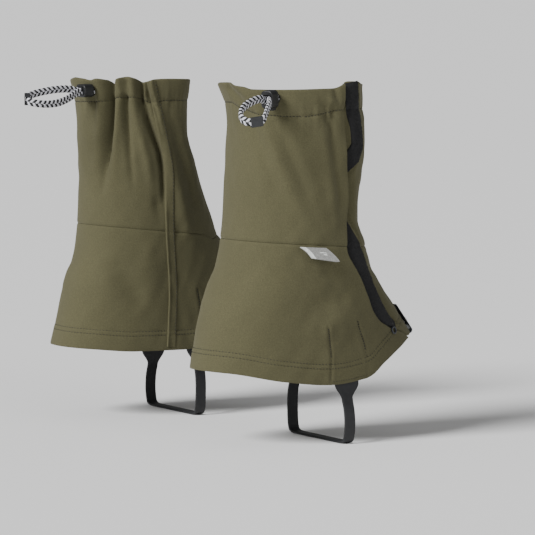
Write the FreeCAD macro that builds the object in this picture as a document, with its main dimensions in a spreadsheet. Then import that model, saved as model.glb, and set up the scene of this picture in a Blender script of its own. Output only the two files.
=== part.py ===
import FreeCAD, Part
import math
import os
import Sketcher
from FreeCAD import Placement, Rotation, Vector

# A pair of low stretch-cloth gaiters as worn, in millimetres. +X is towards the toes, +Y the
# wearer's left and +Z up. The origin lies midway between the feet, on the plane of the
# undersides of the two stirrup straps. "out" is a distance out of the cloth's outer face.

doc = FreeCAD.newDocument("gaiters")
sheet = doc.addObject("Spreadsheet::Sheet", "Sizes")

SIZES = {
    # the pair
    "foot_forward": 6.5, "foot_apart": 118.0, "leg_centre": 8.0,
    # cloth and bands
    "cloth_thick": 1.0, "cloth_gap": 0.3, "channel_bottom": 264.0, "channel_out": 2.4,
    "channel_in": 2.6, "channel_wall": 0.8, "seam_slope": 0.065, "facing_tall": 16.0,
    "facing_thick": 0.8, "strip_thick": 1.1, "strip_wide": 16.0, "seam_strip_wide": 6.0,
    "seam_strip_thick": 1.5, "underlap_depth": 4.3, "underlap_wide": 8.0, "layer_gap": 0.45,
    "flap_slack": 0.55,
    "hinge_low_x": 42.0, "hinge_low_z": 52.0, "hinge_top_x": -20.0, "hinge_top_z": 285.0,
    "hinge_gap": 0.9,
    # drawcord, its lock and its end clip
    "cord_thick": 2.8, "cord_wide": 6.0, "cord_free_thick": 3.0, "cord_apart": 3.3,
    "lock_length": 9.5, "lock_width": 10.8, "lock_height": 14.4, "lock_corner": 3.6,
    "lock_edge": 1.0, "lock_off_cloth": 3.4, "passage_wide": 6.9, "passage_tall": 7.3,
    "bore_wide": 8.2, "bore_deep": 4.8, "bore_top": 6.0, "plunger_wide": 7.8,
    "plunger_deep": 4.4, "plunger_top": 4.0, "plunger_button": 8.8, "window_top": 3.3,
    "window_low": 4.7, "plunger_round": 0.8, "spring_radius": 1.6, "spring_wire": 0.6,
    "spring_pitch": 0.9, "spring_tall": 1.3,
    "clip_length": 9.5, "clip_thick": 4.8, "clip_tall": 7.8, "clip_slot_thick": 3.4,
    "clip_slot_tall": 6.6, "clip_edge": 0.6, "exit_hole": 6.6, "buttonhole_ring": 4.3,
    "buttonhole_thread": 0.4,
    # stirrup strap
    "strap_x": 27.5, "strap_wide": 9.5, "strap_thick": 2.0, "strap_half_top": 42.6,
    "strap_half_side": 48.0, "strap_corner": 9.0, "strap_lateral_top": 61.0,
    "strap_medial_top": 70.0, "strap_lateral_hem": 48.0, "strap_medial_hem": 57.0,
    "flare_wide": 21.0, "flare_tall": 10.0, "anchor_thick": 0.8,
    # label
    "label_long": 21.0, "label_drop": 13.5, "label_skew": 4.0, "label_thick": 0.7,
    "label_x": -7.5, "label_z": 157.6, "label_tilt": 38.0,
    # lace hook with its tab and rivet
    "hook_wide": 6.5, "hook_thick": 1.0, "hook_bend": 1.7, "hook_above": 8.7,
    "hook_below": 8.5, "hook_return": 1.2, "hook_rise": 1.6, "hook_hole_radius": 1.15,
    "tab_long": 21.0, "tab_wide": 12.0, "tab_thick": 0.9, "tab_rise": 0.6,
    "tab_below": 3.7, "rivet_shank": 1.05, "rivet_head": 2.3, "rivet_head_thick": 0.8,
    "rivet_back": 0.35, "eyelet_ring": 2.6, "eyelet_wire": 0.8,
}

# Horizontal sections of each gaiter: height, then how far the cloth reaches behind, before
# and beside the middle of the foot.
SECTIONS = {
    "right": (
        (45, 88, 134, 49.5), (60, 86, 125, 49.5), (84, 81.5, 108.5, 49), (104, 77, 94, 49),
        (129, 66, 74.5, 50), (148, 60, 65, 51.5), (160, 56.5, 60, 52.5), (175, 54.5, 57, 53),
        (193, 53.5, 57, 53), (250, 53, 58, 53), (264, 54, 58, 53.5), (286, 57, 59, 54.5),
    ),
    "left": (
        (45, 88, 134, 48.5), (60, 86, 125, 48.5), (84, 81.5, 108.5, 48), (104, 76, 93, 48),
        (129, 64.5, 76, 47.5), (148, 60.5, 65.5, 47.5), (162, 59, 58.5, 47.5),
        (183, 58, 50, 47), (210, 57.5, 40, 46.5), (240, 58.5, 31.5, 46), (264, 60.5, 31, 46),
        (284, 63, 34, 47.5),
    ),
}
# Where each gaiter differs: rim heights on its outer and inner side, the height of the
# seam between its upper and lower cloth, and the place where its drawcord comes out.
SIDE_SIZES = {
    "right": {"rim_lateral": 284.5, "rim_medial": 280.5, "seam": 160.0,
              "exit_angle": 136.0, "exit_z": 277.0},
    "left": {"rim_lateral": 278.5, "rim_medial": 282.5, "seam": 157.0,
             "exit_angle": -163.0, "exit_z": 276.5},
}
# Lines on the cloth, as a height or a forward distance and then a height or an angle. The
# angle is 0 at the toes, 90 on the outer side of the foot and 180 at the heel.
HEM_LATERAL = ((-92, 62), (-31, 52.5), (11, 48.5), (43, 52), (60, 61.5), (87, 75.5), (112, 85.5))
HEM_MEDIAL = ((-92, 61), (-31, 57), (11, 57), (43, 60), (60, 67), (87, 77), (112, 85.5))
CLOSURE = ((80, 12), (84, 16), (91, 28), (113, 36), (134, 50), (157, 71), (195, 68),
           (234, 70.5), (286, 74))
MEDIAL_SEAM = ((60, -100), (108, -97.5), (162, -100.5), (205, -101.5), (235, -107),
               (284, -119))
# The free loop of each drawcord beyond its lock, from one strand round to the other, and
# the way it leaves the cloth. The end clip sits on the run between the two points named.
LOOPS = {
    "right": {
        "way": Vector(-0.86, -0.5, -0.08),
        "points": (
            (-48.5, -170.6, 277.2), (-56.0, -173.6, 275.9), (-66.7, -177.5, 272.0),
            (-74.0, -183.5, 266.6), (-76.0, -191.2, 261.8), (-72.6, -197.2, 259.4),
            (-61.8, -200.1, 261.0), (-56.4, -193.4, 266.4), (-49.8, -185.4, 271.4),
            (-43.6, -177.6, 275.0),
        ),
        "clip_run": (5, 6),
    },
    "left": {
        "way": Vector(-0.99, -0.12, -0.03),
        "points": (
            (-88.0, 97.4, 277.9), (-99.3, 95.9, 277.8), (-110.9, 94.6, 276.5),
            (-121.5, 93.8, 274.5), (-129.3, 91.6, 272.2), (-133.9, 81.4, 268.5),
            (-127.4, 76.6, 266.8), (-117.4, 76.8, 266.0), (-106.2, 79.6, 266.8),
            (-95.4, 84.8, 269.8), (-86.4, 90.6, 273.6),
        ),
        "clip_run": (4, 5),
    },
}
LOCK_TURN = {"right": 0.0, "left": -90.0}
SIGNS = {"right": -1, "left": 1}

cells = dict(SIZES)
for side in SIGNS:
    for name, value in SIDE_SIZES[side].items():
        cells[f"{side}_{name}"] = value
    for row, values in enumerate(SECTIONS[side], start=1):
        for column, value in zip(("height", "rear", "front", "half"), values):
            cells[f"{side}_{column}_row_{row}"] = value
for row, (name, value) in enumerate(cells.items(), start=1):
    sheet.set(f"A{row}", name)
    sheet.set(f"B{row}", str(value))
    sheet.setAlias(f"B{row}", name)
doc.recompute()


def size(name):
    return float(sheet.get(name))


def smooth(place, table, column=1):
    """The value of a column of a table at a place, on a curve through its rows that never overshoots."""
    xs = [row[0] for row in table]
    ys = [row[column] for row in table]
    place = min(max(place, xs[0]), xs[-1])
    k = max(i for i in range(len(xs) - 1) if xs[i] <= place)
    slopes = [(ys[i + 1] - ys[i]) / (xs[i + 1] - xs[i]) for i in range(len(xs) - 1)]

    def tangent(i):
        if i == 0 or i == len(slopes):
            return slopes[min(i, len(slopes) - 1)]
        before, after = slopes[i - 1], slopes[i]
        return 0.0 if before * after <= 0 else 2 * before * after / (before + after)

    wide = xs[k + 1] - xs[k]
    t = (place - xs[k]) / wide
    return (
        ys[k] * (1 + 2 * t) * (1 - t) ** 2
        + tangent(k) * wide * t * (1 - t) ** 2
        + ys[k + 1] * t * t * (3 - 2 * t)
        - tangent(k + 1) * wide * t * t * (1 - t)
    )


def section_table(side):
    rows = range(1, len(SECTIONS[side]) + 1)
    return [
        [size(f"{side}_{column}_row_{row}") for column in ("height", "rear", "front", "half")]
        for row in rows
    ]


TABLES = {side: section_table(side) for side in SIGNS}
LEG_CENTRE = size("leg_centre")


def reach(side, angle, z):
    """How far the cloth's outer face is from the upright through the leg's centre."""
    rear, front, half = (smooth(z, TABLES[side], column) for column in (1, 2, 3))
    cosine, sine = math.cos(math.radians(angle)), math.sin(math.radians(angle))
    low = min(max((150 - z) / 70, 0), 1)
    low = low * low * (3 - 2 * low)
    long, power = rear + LEG_CENTRE, 2.15 + 0.25 * low
    if cosine > 0:
        long, power = front - LEG_CENTRE, 2.15 - 0.45 * low * cosine
    return (abs(cosine / long) ** power + abs(sine / half) ** power) ** (-1 / power)


def in_frame(side, x, lateral, z):
    """A point given from the middle of its foot, in the shared frame."""
    sign = SIGNS[side]
    forward = -sign * size("foot_forward")
    return Vector(forward + x, sign * (size("foot_apart") + lateral), z)


def skin(side, angle, z, out=0.0):
    far = reach(side, angle, z) + out
    turn = math.radians(angle)
    return in_frame(side, LEG_CENTRE + far * math.cos(turn), far * math.sin(turn), z)


def forward(side, angle, z):
    return LEG_CENTRE + reach(side, angle, z) * math.cos(math.radians(angle))


def hem(side, angle):
    lateral = min(max(0.5 + 1.2 * math.sin(math.radians(angle)), 0), 1)
    z = 60.0
    for _ in range(9):
        x = forward(side, angle, z)
        z = 0.5 * z + 0.5 * (
            lateral * smooth(x, HEM_LATERAL) + (1 - lateral) * smooth(x, HEM_MEDIAL)
        )
    return z


def seam(side, angle):
    middle = size(f"{side}_seam")
    return middle - size("seam_slope") * forward(side, angle, middle)


def rim(side, angle):
    share = 0.5 + 0.5 * math.sin(math.radians(angle))
    return share * size(f"{side}_rim_lateral") + (1 - share) * size(f"{side}_rim_medial")


def hinge(side, z):
    """The angle at which the line that the front flap folds about crosses a height."""
    share = (z - size("hinge_low_z")) / (size("hinge_top_z") - size("hinge_low_z"))
    x = size("hinge_low_x") + share * (size("hinge_top_x") - size("hinge_low_x"))
    low, high = 10.0, 170.0
    for _ in range(22):
        middle = (low + high) / 2
        low, high = (middle, high) if forward(side, middle, z) > x else (low, middle)
    return low


def arc(side, length, z):
    """The angle that a length along the cloth takes up at a height, near its front edge."""
    return math.degrees(length / reach(side, smooth(z, CLOSURE), z))


def closure(side, z):
    return smooth(z, CLOSURE)


def underlap(side, z):
    return closure(side, z) + arc(side, size("underlap_wide"), z)


def flap_back(side, z):
    return hinge(side, z) - arc(side, size("hinge_gap") / 2, z)


def rear_front(side, z):
    return hinge(side, z) + arc(side, size("hinge_gap") / 2, z)


def medial(side, z):
    return smooth(z, MEDIAL_SEAM)


def medial_rear(side, z):
    return 360 + medial(side, z) - 0.2


def medial_front(side, z):
    return medial(side, z) + 0.2


def sunk(side, angle, z):
    """How far the front cloth dips under the flap."""
    edge = closure(side, z)
    share = min(max((angle - edge + 32) / 32, 0), 1)
    return -size("underlap_depth") * share * share * (3 - 2 * share)


def level(side, angle, z):
    return 0.0


def sheet_solid(side, angles, heights, outs, base=level, steps=(20, 10)):
    """A closed solid between two smooth faces that follow the cloth. angles are its two
    upright edges as functions of height, heights its lower and upper edge as functions of
    angle, and outs how far its inner and outer face stand out of base."""
    across, up = steps
    places = []
    for i in range(across + 1):
        row = []
        for j in range(up + 1):
            u, v = i / across, j / up
            z = 150.0
            for _ in range(14):
                angle = (1 - u) * angles[0](side, z) + u * angles[1](side, z)
                z = 0.5 * z + 0.5 * (
                    (1 - v) * heights[0](side, angle) + v * heights[1](side, angle)
                )
            row.append((angle, z))
        places.append(row)
    faces = []
    for out in outs:
        grid = [
            [skin(side, angle, z, base(side, angle, z) + out) for angle, z in row]
            for row in places
        ]
        surface = Part.BSplineSurface()
        surface.interpolate(grid)
        faces.append(surface.toShape())
    inner, outer = faces
    sides = [Part.makeRuledSurface(a, b, 1) for a, b in zip(inner.Edges, outer.Edges)]
    shell = Part.makeShell([inner, outer] + sides)
    shell.sewShape()
    solid = Part.Solid(Part.Shell(shell.Faces))
    if solid.Volume < 0:
        solid.reverse()
    return solid


def fixed(value):
    return lambda side, place: value


def moved(function, by):
    return lambda side, place: function(side, place) + by


nodes = {}


def keep(node, thing, placement=None):
    """Stores a shape, or a finished object of the document, as a named sub-part."""
    if isinstance(thing, Part.Shape):
        shape, thing = thing, doc.addObject("Part::Feature", node)
        thing.Shape = shape
    thing.Label = node
    if placement is not None:
        thing.Placement = placement
    nodes[node] = thing


# ---- cloth ----


def panels(side):
    thick, gap = size("cloth_thick"), size("cloth_gap") / 2
    below, above = moved(seam, -gap), moved(seam, gap)
    top = fixed(size("channel_bottom") - gap)
    outs = (-thick, 0.0)
    rear, front, flap = (rear_front, medial_rear), (medial_front, underlap), (closure, flap_back)
    wide, narrow = (28, 10), (12, 10)
    keep(f"{side}_upper_rear_panel", sheet_solid(side, rear, (above, top), outs, steps=wide))
    keep(f"{side}_lower_rear_panel", sheet_solid(side, rear, (hem, below), outs, steps=wide))
    keep(f"{side}_upper_front_panel", sheet_solid(side, front, (above, top), outs, sunk, wide))
    keep(f"{side}_lower_front_panel", sheet_solid(side, front, (hem, below), outs, sunk, wide))
    keep(f"{side}_upper_flap", sheet_solid(side, flap, (above, top), outs, steps=narrow))
    keep(f"{side}_lower_flap", sheet_solid(side, flap, (hem, below), outs, steps=narrow))


def channel(side, first, last, steps):
    """The folded band at the top, hollow for the drawcord and open below."""
    wall, low = size("channel_wall"), size("channel_bottom")
    ends = (fixed(first), fixed(last))
    block = sheet_solid(
        side, ends, (fixed(low), rim), (-size("channel_in"), size("channel_out")), steps=steps
    )
    hollow = sheet_solid(
        side, (fixed(first - 1), fixed(last + 1)), (fixed(low - 2), moved(rim, -wall)),
        (wall - size("channel_in"), size("channel_out") - wall), steps=steps,
    )
    return block.cut(hollow)


def channel_angles(side):
    """The angles at which the three lengths of the top band end."""
    middle = (size("channel_bottom") + size("hinge_top_z")) / 2
    fold = hinge(side, middle)
    return {
        "rear": (fold + 1.0, 360 + medial(side, middle) - 0.2),
        "front": (medial(side, middle) + 0.2, closure(side, middle) - 2.5),
        "flap": (closure(side, middle), fold - 1.0),
    }


def exit_place(side):
    """The hole that the drawcord comes out of: its centre within the band, and its way out."""
    place = skin(side, size(f"{side}_exit_angle"), size(f"{side}_exit_z"))
    way = Vector(LOOPS[side]["way"])
    way.normalize()
    return place, way


def top_bands(side):
    angles = channel_angles(side)
    place, way = exit_place(side)
    hole = Part.makeCylinder(size("exit_hole") / 2, 12, place, way)
    rear = channel(side, *angles["rear"], (28, 4)).cut(hole)
    keep(f"{side}_top_band_rear", rear)
    keep(f"{side}_top_band_front", channel(side, *angles["front"], (28, 4)))
    keep(f"{side}_top_band_flap", channel(side, *angles["flap"], (12, 4)))


def strips(side):
    thick, gap = size("strip_thick"), size("layer_gap")
    half = size("strip_wide") / 2

    def loop_front(side, z):
        return closure(side, z) - arc(side, half + 3.5, z)

    def loop_back(side, z):
        return closure(side, z) + arc(side, half - 3.5, z)

    def hook_front(side, z):
        return closure(side, z) + arc(side, 1.5, z)

    def hook_back(side, z):
        return closure(side, z) + arc(side, 9.5, z)

    low, high = fixed(92.0), fixed(size("channel_bottom") - 1)
    keep(
        f"{side}_loop_strip",
        sheet_solid(side, (loop_front, loop_back), (low, high), (gap, gap + thick), sunk, (6, 16)),
    )
    under = -size("cloth_thick") - gap
    keep(
        f"{side}_hook_strip",
        sheet_solid(side, (hook_front, hook_back), (low, high), (under - 0.8, under), steps=(6, 16)),
    )
    wide = size("seam_strip_wide")

    def strip_rear(side, z):
        return medial(side, z) - math.degrees(wide / 2 / reach(side, medial(side, z), z))

    def strip_front(side, z):
        return medial(side, z) + math.degrees(wide / 2 / reach(side, medial(side, z), z))

    outs = (gap, gap + size("seam_strip_thick"))
    top = fixed(size("channel_bottom") - 0.5)
    seam_strip = sheet_solid(side, (strip_rear, strip_front), (hem, top), outs, steps=(6, 16))
    keep(f"{side}_medial_seam_strip", seam_strip)


def hem_pieces(side):
    """The cloth turned up inside the hem, and the patches that the stirrup is sewn to."""
    under = -size("cloth_thick") - size("layer_gap")
    outs = (under - size("facing_thick"), under)
    edge, top = moved(hem, 0.4), moved(hem, size("facing_tall"))
    rear = sheet_solid(side, (rear_front, medial_rear), (edge, top), outs, steps=(28, 4))
    deeper = tuple(out - size("flap_slack") for out in outs)
    keep(f"{side}_hem_facing", rear)
    keep(
        f"{side}_flap_hem_facing",
        sheet_solid(side, (closure, flap_back), (edge, top), deeper, steps=(16, 6)),
    )
    patch = (outs[0] - 0.15 - size("anchor_thick"), outs[0] - 0.15)
    low, high = moved(hem, 2.5), moved(hem, 13.0)
    pieces = [
        sheet_solid(side, (fixed(first), fixed(last)), (low, high), patch, steps=(8, 3))
        for first, last in ((61, 86), (-86, -58))
    ]
    keep(f"{side}_strap_anchors", Part.makeCompound(pieces))


# ---- drawcord ----


def channel_cords(side):
    """The drawcord where the top band holds it, on both sides of its way out."""
    angles = channel_angles(side)
    out = size(f"{side}_exit_angle") % 360
    beside = math.degrees(size("cord_apart") / 2 / reach(side, out, size(f"{side}_exit_z")))
    low = size("channel_bottom") + 7.5
    tall = (fixed(low), fixed(low + size("cord_wide")))
    outs = (-0.1 - size("cord_thick") / 2, -0.1 + size("cord_thick") / 2)
    ends = angles["rear"]
    rim_front = angles["front"][1] + 360
    keep(
        f"{side}_drawcord_short_run",
        sheet_solid(side, (fixed(ends[0] + 0.3), fixed(out - beside)), tall, outs, steps=(24, 3)),
    )
    keep(
        f"{side}_drawcord_long_run",
        sheet_solid(side, (fixed(out + beside), fixed(rim_front - 2)), tall, outs, steps=(40, 3)),
    )
    keep(
        f"{side}_drawcord_flap_run",
        sheet_solid(
            side, (fixed(angles["flap"][0] + 2), fixed(angles["flap"][1] - 0.3)), tall, outs,
            steps=(10, 3),
        ),
    )


def tube(points, diameter):
    """A round cord along straight runs joined by tangent arcs, and its arcs' radii."""
    runs = [(b - a).Length for a, b in zip(points, points[1:])]
    edges, radii, start = [], [], points[0]
    for k in range(1, len(points) - 1):
        before = (points[k] - points[k - 1]).normalize()
        after = (points[k + 1] - points[k]).normalize()
        half = before.getAngle(after) / 2
        cut = 0.45 * min(runs[k - 1], runs[k])
        radii.append(cut / math.tan(half))
        first, last = points[k] - before * cut, points[k] + after * cut
        inward = (after - before).normalize()
        bulge = points[k] + inward * (radii[-1] / math.cos(half) - radii[-1])
        edges.append(Part.LineSegment(start, first).toShape())
        edges.append(Part.Arc(first, bulge, last).toShape())
        start = last
    edges.append(Part.LineSegment(start, points[-1]).toShape())
    path = Part.Wire(edges)
    ring = Part.Wire(Part.makeCircle(diameter / 2, points[0], points[1] - points[0]))
    solid = path.makePipeShell([ring], True, False)
    expected = math.pi * diameter * diameter / 4 * path.Length
    assert abs(solid.Volume / expected - 1) < 0.02, (solid.Volume, expected)
    return solid, path.Length, radii


def lock_frame(side):
    """Axes at the lock's middle: across the two strands, along the plunger, along the cord."""
    place, way = exit_place(side)
    across = way.cross(Vector(0, 0, 1)).normalize()
    out = size("channel_out") + size("lock_off_cloth") + size("lock_length") / 2
    turn = Placement(Vector(), Rotation(across, way.cross(across), way, "ZXY"))
    spin = Placement(Vector(), Rotation(Vector(0, 0, 1), LOCK_TURN[side]))
    return Placement(place + way * out, Rotation()) * turn * spin


def free_loop(side):
    place, way = exit_place(side)
    across = way.cross(Vector(0, 0, 1)).normalize() * (size("cord_apart") / 2)
    down = Vector(0, 0, -0.35)
    points = [place + across, place + across + way * 8 + down * 0.5, place + across + way * 17 + down]
    points += [Vector(*point) for point in LOOPS[side]["points"]]
    points += [place - across + way * 17 + down, place - across + way * 8 + down * 0.5, place - across]
    solid, length, radii = tube(points, size("cord_free_thick"))
    print(side, "drawcord loop", round(length, 1), "mm, radii", [round(r, 1) for r in radii])
    keep(f"{side}_drawcord_loop", solid)


# ---- moulded and metal pieces, each in its own frame and then put in place ----


def plane(body, role):
    return next(f for f in body.Origin.OriginFeatures if f.Role == role)


def rectangle(body, role, wide, tall, at=(0.0, 0.0), lift=0.0):
    """A rectangle on one of a body's planes. wide and tall name cells of the sheet."""
    sketch = body.newObject("Sketcher::SketchObject", body.Name + "_rectangle")
    sketch.AttachmentSupport = [(plane(body, role), "")]
    sketch.MapMode = "FlatFace"
    sketch.AttachmentOffset = Placement(Vector(at[0], at[1], lift), Rotation())
    x, y = size(wide) / 2, size(tall) / 2
    corners = [Vector(-x, -y), Vector(x, -y), Vector(x, y), Vector(-x, y)]
    for start, end in zip(corners, corners[1:] + corners[:1]):
        sketch.addGeometry(Part.LineSegment(start, end))
    for line in range(4):
        sketch.addConstraint(Sketcher.Constraint("Coincident", line, 2, (line + 1) % 4, 1))
        flat = "Horizontal" if line % 2 == 0 else "Vertical"
        sketch.addConstraint(Sketcher.Constraint(flat, line))
    sketch.addConstraint(Sketcher.Constraint("Symmetric", 0, 1, 1, 2, -1, 1))
    for kind, line, cell in (("DistanceX", 0, wide), ("DistanceY", 1, tall)):
        number = sketch.addConstraint(Sketcher.Constraint(kind, line, 1, line, 2, size(cell)))
        sketch.setExpression(f"Constraints[{number}]", f"Sizes.{cell}")
    return sketch


def circle(body, role, radius, at=(0.0, 0.0)):
    sketch = body.newObject("Sketcher::SketchObject", body.Name + "_circle")
    sketch.AttachmentSupport = [(plane(body, role), "")]
    sketch.MapMode = "FlatFace"
    sketch.AttachmentOffset = Placement(Vector(at[0], at[1], 0), Rotation())
    sketch.addGeometry(Part.Circle(Vector(), Vector(0, 0, 1), size(radius)))
    sketch.addConstraint(Sketcher.Constraint("Coincident", 0, 3, -1, 1))
    number = sketch.addConstraint(Sketcher.Constraint("Radius", 0, size(radius)))
    sketch.setExpression(f"Constraints[{number}]", f"Sizes.{radius}")
    return sketch


def outline(body, role, points):
    """A closed outline through points; a point given with a third one before it is an arc."""
    sketch = body.newObject("Sketcher::SketchObject", body.Name + "_outline")
    sketch.AttachmentSupport = [(plane(body, role), "")]
    sketch.MapMode = "FlatFace"
    for start, middle, end in points:
        if middle is None:
            sketch.addGeometry(Part.LineSegment(Vector(*start), Vector(*end)))
        else:
            sketch.addGeometry(Part.Arc(Vector(*start), Vector(*middle), Vector(*end)))
    return sketch


def pad(body, sketch, cell):
    feature = body.newObject("PartDesign::Pad", body.Name + "_pad")
    feature.Profile = sketch
    feature.Midplane = True
    feature.setExpression("Length", f"Sizes.{cell}")
    doc.recompute()
    return feature


def pocket_through(body, sketch, both_ways=True):
    before = body.Shape.Volume
    feature = body.newObject("PartDesign::Pocket", body.Name + "_pocket")
    feature.Profile = sketch
    feature.Type = "ThroughAll"
    feature.Midplane = both_ways
    doc.recompute()
    assert body.Shape.Volume < before - 0.1, body.Label
    return feature


def round_edges(body, cell, chosen):
    """Rounds the edges of a body for which chosen says yes."""
    base = body.Tip
    names = [f"Edge{k}" for k, edge in enumerate(base.Shape.Edges, start=1) if chosen(edge)]
    feature = body.newObject("PartDesign::Fillet", body.Name + "_round")
    feature.Base = (base, names)
    feature.setExpression("Radius", f"Sizes.{cell}")
    doc.recompute()
    return feature


def along_z(edge):
    a, b = edge.Vertexes[0].Point, edge.Vertexes[-1].Point
    return abs(a.x - b.x) + abs(a.y - b.y) < 1e-6 and abs(a.z - b.z) > 1e-6


def at_ends(length):
    return lambda edge: all(abs(abs(v.Z) - length / 2) < 1e-6 for v in edge.Vertexes)


def cord_lock_body(side):
    body = doc.addObject("PartDesign::Body", f"{side}_cord_lock_body")
    pad(body, rectangle(body, "XY_Plane", "lock_width", "lock_height"), "lock_length")
    round_edges(body, "lock_corner", along_z)
    round_edges(body, "lock_edge", at_ends(size("lock_length")))
    pocket_through(body, rectangle(body, "XY_Plane", "passage_wide", "passage_tall"))
    bore = rectangle(body, "XZ_Plane", "bore_wide", "bore_deep", lift=size("bore_top"))
    pocket_through(body, bore, both_ways=False)
    keep(body.Name, body, lock_frame(side))


def box(name, low, high):
    """A block between two corners whose sizes are expressions of the sheet."""
    block = doc.addObject("Part::Box", name)
    for axis, start, end in zip(("Length", "Width", "Height"), low, high):
        block.setExpression(axis, f"({end}) - ({start})")
    for axis, start in zip("xyz", low):
        block.setExpression(f"Placement.Base.{axis}", start)
    return block


def cord_lock_plunger(side):
    """The button and the frame inside the lock that pinches the cord. The button is at +Y."""
    block = box(
        f"{side}_plunger_block",
        ("-Sizes.plunger_wide / 2", "-Sizes.plunger_top", "-Sizes.plunger_deep / 2"),
        ("Sizes.plunger_wide / 2", "Sizes.plunger_button", "Sizes.plunger_deep / 2"),
    )
    window = box(
        f"{side}_plunger_window",
        ("-Sizes.passage_wide / 2", "-Sizes.window_top", "-Sizes.plunger_deep"),
        ("Sizes.passage_wide / 2", "Sizes.window_low", "Sizes.plunger_deep"),
    )
    cut = doc.addObject("Part::Cut", f"{side}_plunger_cut")
    cut.Base, cut.Tool = block, window
    doc.recompute()
    rounded = doc.addObject("Part::Fillet", f"{side}_plunger_rounded")
    rounded.Base = cut
    head = size("plunger_button")
    rounded.Edges = [
        (k, size("plunger_round"), size("plunger_round"))
        for k, edge in enumerate(cut.Shape.Edges, start=1)
        if all(abs(v.Y - head) < 1e-6 for v in edge.Vertexes)
    ]
    doc.recompute()
    keep(f"{side}_cord_lock_plunger", rounded, lock_frame(side))


def cord_lock_spring(side):
    """Coils between the plunger's top bar and the end of its bore."""
    wire = size("spring_wire")
    coil = Part.makeHelix(size("spring_pitch"), size("spring_tall"), size("spring_radius"))
    ring = Part.Wire(Part.makeCircle(wire / 2, Vector(size("spring_radius"), 0, 0), Vector(0, 1, 0)))
    solid = Part.Wire(coil.Edges).makePipeShell([ring], True, True)
    stand = Placement(Vector(0, -size("plunger_top") - wire / 2 - 0.04, 0), Rotation(Vector(1, 0, 0), 90))
    keep(f"{side}_cord_lock_spring", solid, lock_frame(side) * stand)


def cord_end_clip(side):
    body = doc.addObject("PartDesign::Body", f"{side}_cord_end_clip")
    pad(body, rectangle(body, "XY_Plane", "clip_thick", "clip_tall"), "clip_length")
    round_edges(body, "clip_edge", lambda edge: True)
    pocket_through(body, rectangle(body, "XY_Plane", "clip_slot_thick", "clip_slot_tall"))
    first, last = (Vector(*LOOPS[side]["points"][k]) for k in LOOPS[side]["clip_run"])
    along = (last - first).normalize()
    across = along.cross(Vector(0, 0, 1)).normalize()
    turn = Rotation(across, along.cross(across), along, "ZXY")
    keep(body.Name, body, Placement((first + last) * 0.5, turn))


def cord_buttonhole(side):
    """The sewn ring round the drawcord's way out."""
    ring = doc.addObject("Part::Torus", f"{side}_cord_buttonhole")
    ring.setExpression("Radius1", "Sizes.buttonhole_ring")
    ring.setExpression("Radius2", "Sizes.buttonhole_thread")
    place, way = exit_place(side)
    normal = outward(side, size(f"{side}_exit_angle"), size(f"{side}_exit_z"))
    out = size("channel_out") + size("buttonhole_thread") + 0.3
    place += way * (out / way.dot(normal))
    keep(ring.Name, ring, Placement(place, Rotation(Vector(0, 0, 1), normal)))


def outward(side, angle, z):
    """The cloth's outward normal."""
    around = skin(side, angle + 1, z) - skin(side, angle - 1, z)
    up = skin(side, angle, z + 1) - skin(side, angle, z - 1)
    normal = around.cross(up).normalize()
    away = skin(side, angle, z, 5) - skin(side, angle, z)
    return normal if normal.dot(away) > 0 else -normal


def label(side):
    """A small woven label, sewn into the seam by its upper edge and standing off the cloth."""
    body = doc.addObject("PartDesign::Body", f"{side}_label")
    half, drop, skew = size("label_long") / 2, size("label_drop"), size("label_skew")
    corners = [(-half, 0), (half, 0), (half + skew, drop), (skew - half, drop)]
    lines = [(a, None, b) for a, b in zip(corners, corners[1:] + corners[:1])]
    pad(body, outline(body, "XY_Plane", lines), "label_thick")
    keep(body.Name, body, label_frame(side))


def label_frame(side):
    """X along the seam towards the toes, Y down the label."""
    sign = SIGNS[side]
    x = size("label_x")
    angle = next(a for a in range(60, 150) if forward(side, a, size("label_z")) < x)
    at = in_frame(side, x, reach(side, angle, size("label_z")) * math.sin(math.radians(angle)) + 1.4,
                  size("label_z"))
    tilt = math.radians(size("label_tilt"))
    down = Vector(0, sign * math.sin(tilt), -math.cos(tilt))
    along = Vector(1, 0, -size("seam_slope")).normalize()
    return Placement(at, Rotation(along, down, along.cross(down), "XYZ"))


def hook_frame(side):
    """At the rivet: X down the front of the foot, Z out of the cloth."""
    upper, lower = skin(side, 0, 103), skin(side, 0, 87)
    slope = (lower - upper).normalize()
    out = Vector(-slope.z, 0, slope.x)
    return Placement(upper + slope * 14.3, Rotation(slope, out.cross(slope), out, "XYZ"))


def lace_hook(side):
    """A bent metal strip whose lower end curls in to catch a shoe's lace."""
    body = doc.addObject("PartDesign::Body", f"{side}_lace_hook")
    rise, thick, bend = size("hook_rise"), size("hook_thick"), size("hook_bend")
    above, below, back = -size("hook_above"), size("hook_below"), size("hook_return")
    middle, outer = rise - bend, bend + thick
    points = [
        ((above, rise, 0), None, (below, rise, 0)),
        ((below, rise, 0), (below + bend, middle, 0), (below, middle - bend, 0)),
        ((below, middle - bend, 0), None, (below - back, middle - bend, 0)),
        ((below - back, middle - bend, 0), None, (below - back, middle - outer, 0)),
        ((below - back, middle - outer, 0), None, (below, middle - outer, 0)),
        ((below, middle - outer, 0), (below + outer, middle, 0), (below, middle + outer, 0)),
        ((below, middle + outer, 0), None, (above, middle + outer, 0)),
        ((above, middle + outer, 0), None, (above, rise, 0)),
    ]
    pad(body, outline(body, "XZ_Plane", points), "hook_wide")
    pocket_through(body, circle(body, "XY_Plane", "hook_hole_radius"))
    keep(body.Name, body, hook_frame(side))


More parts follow.
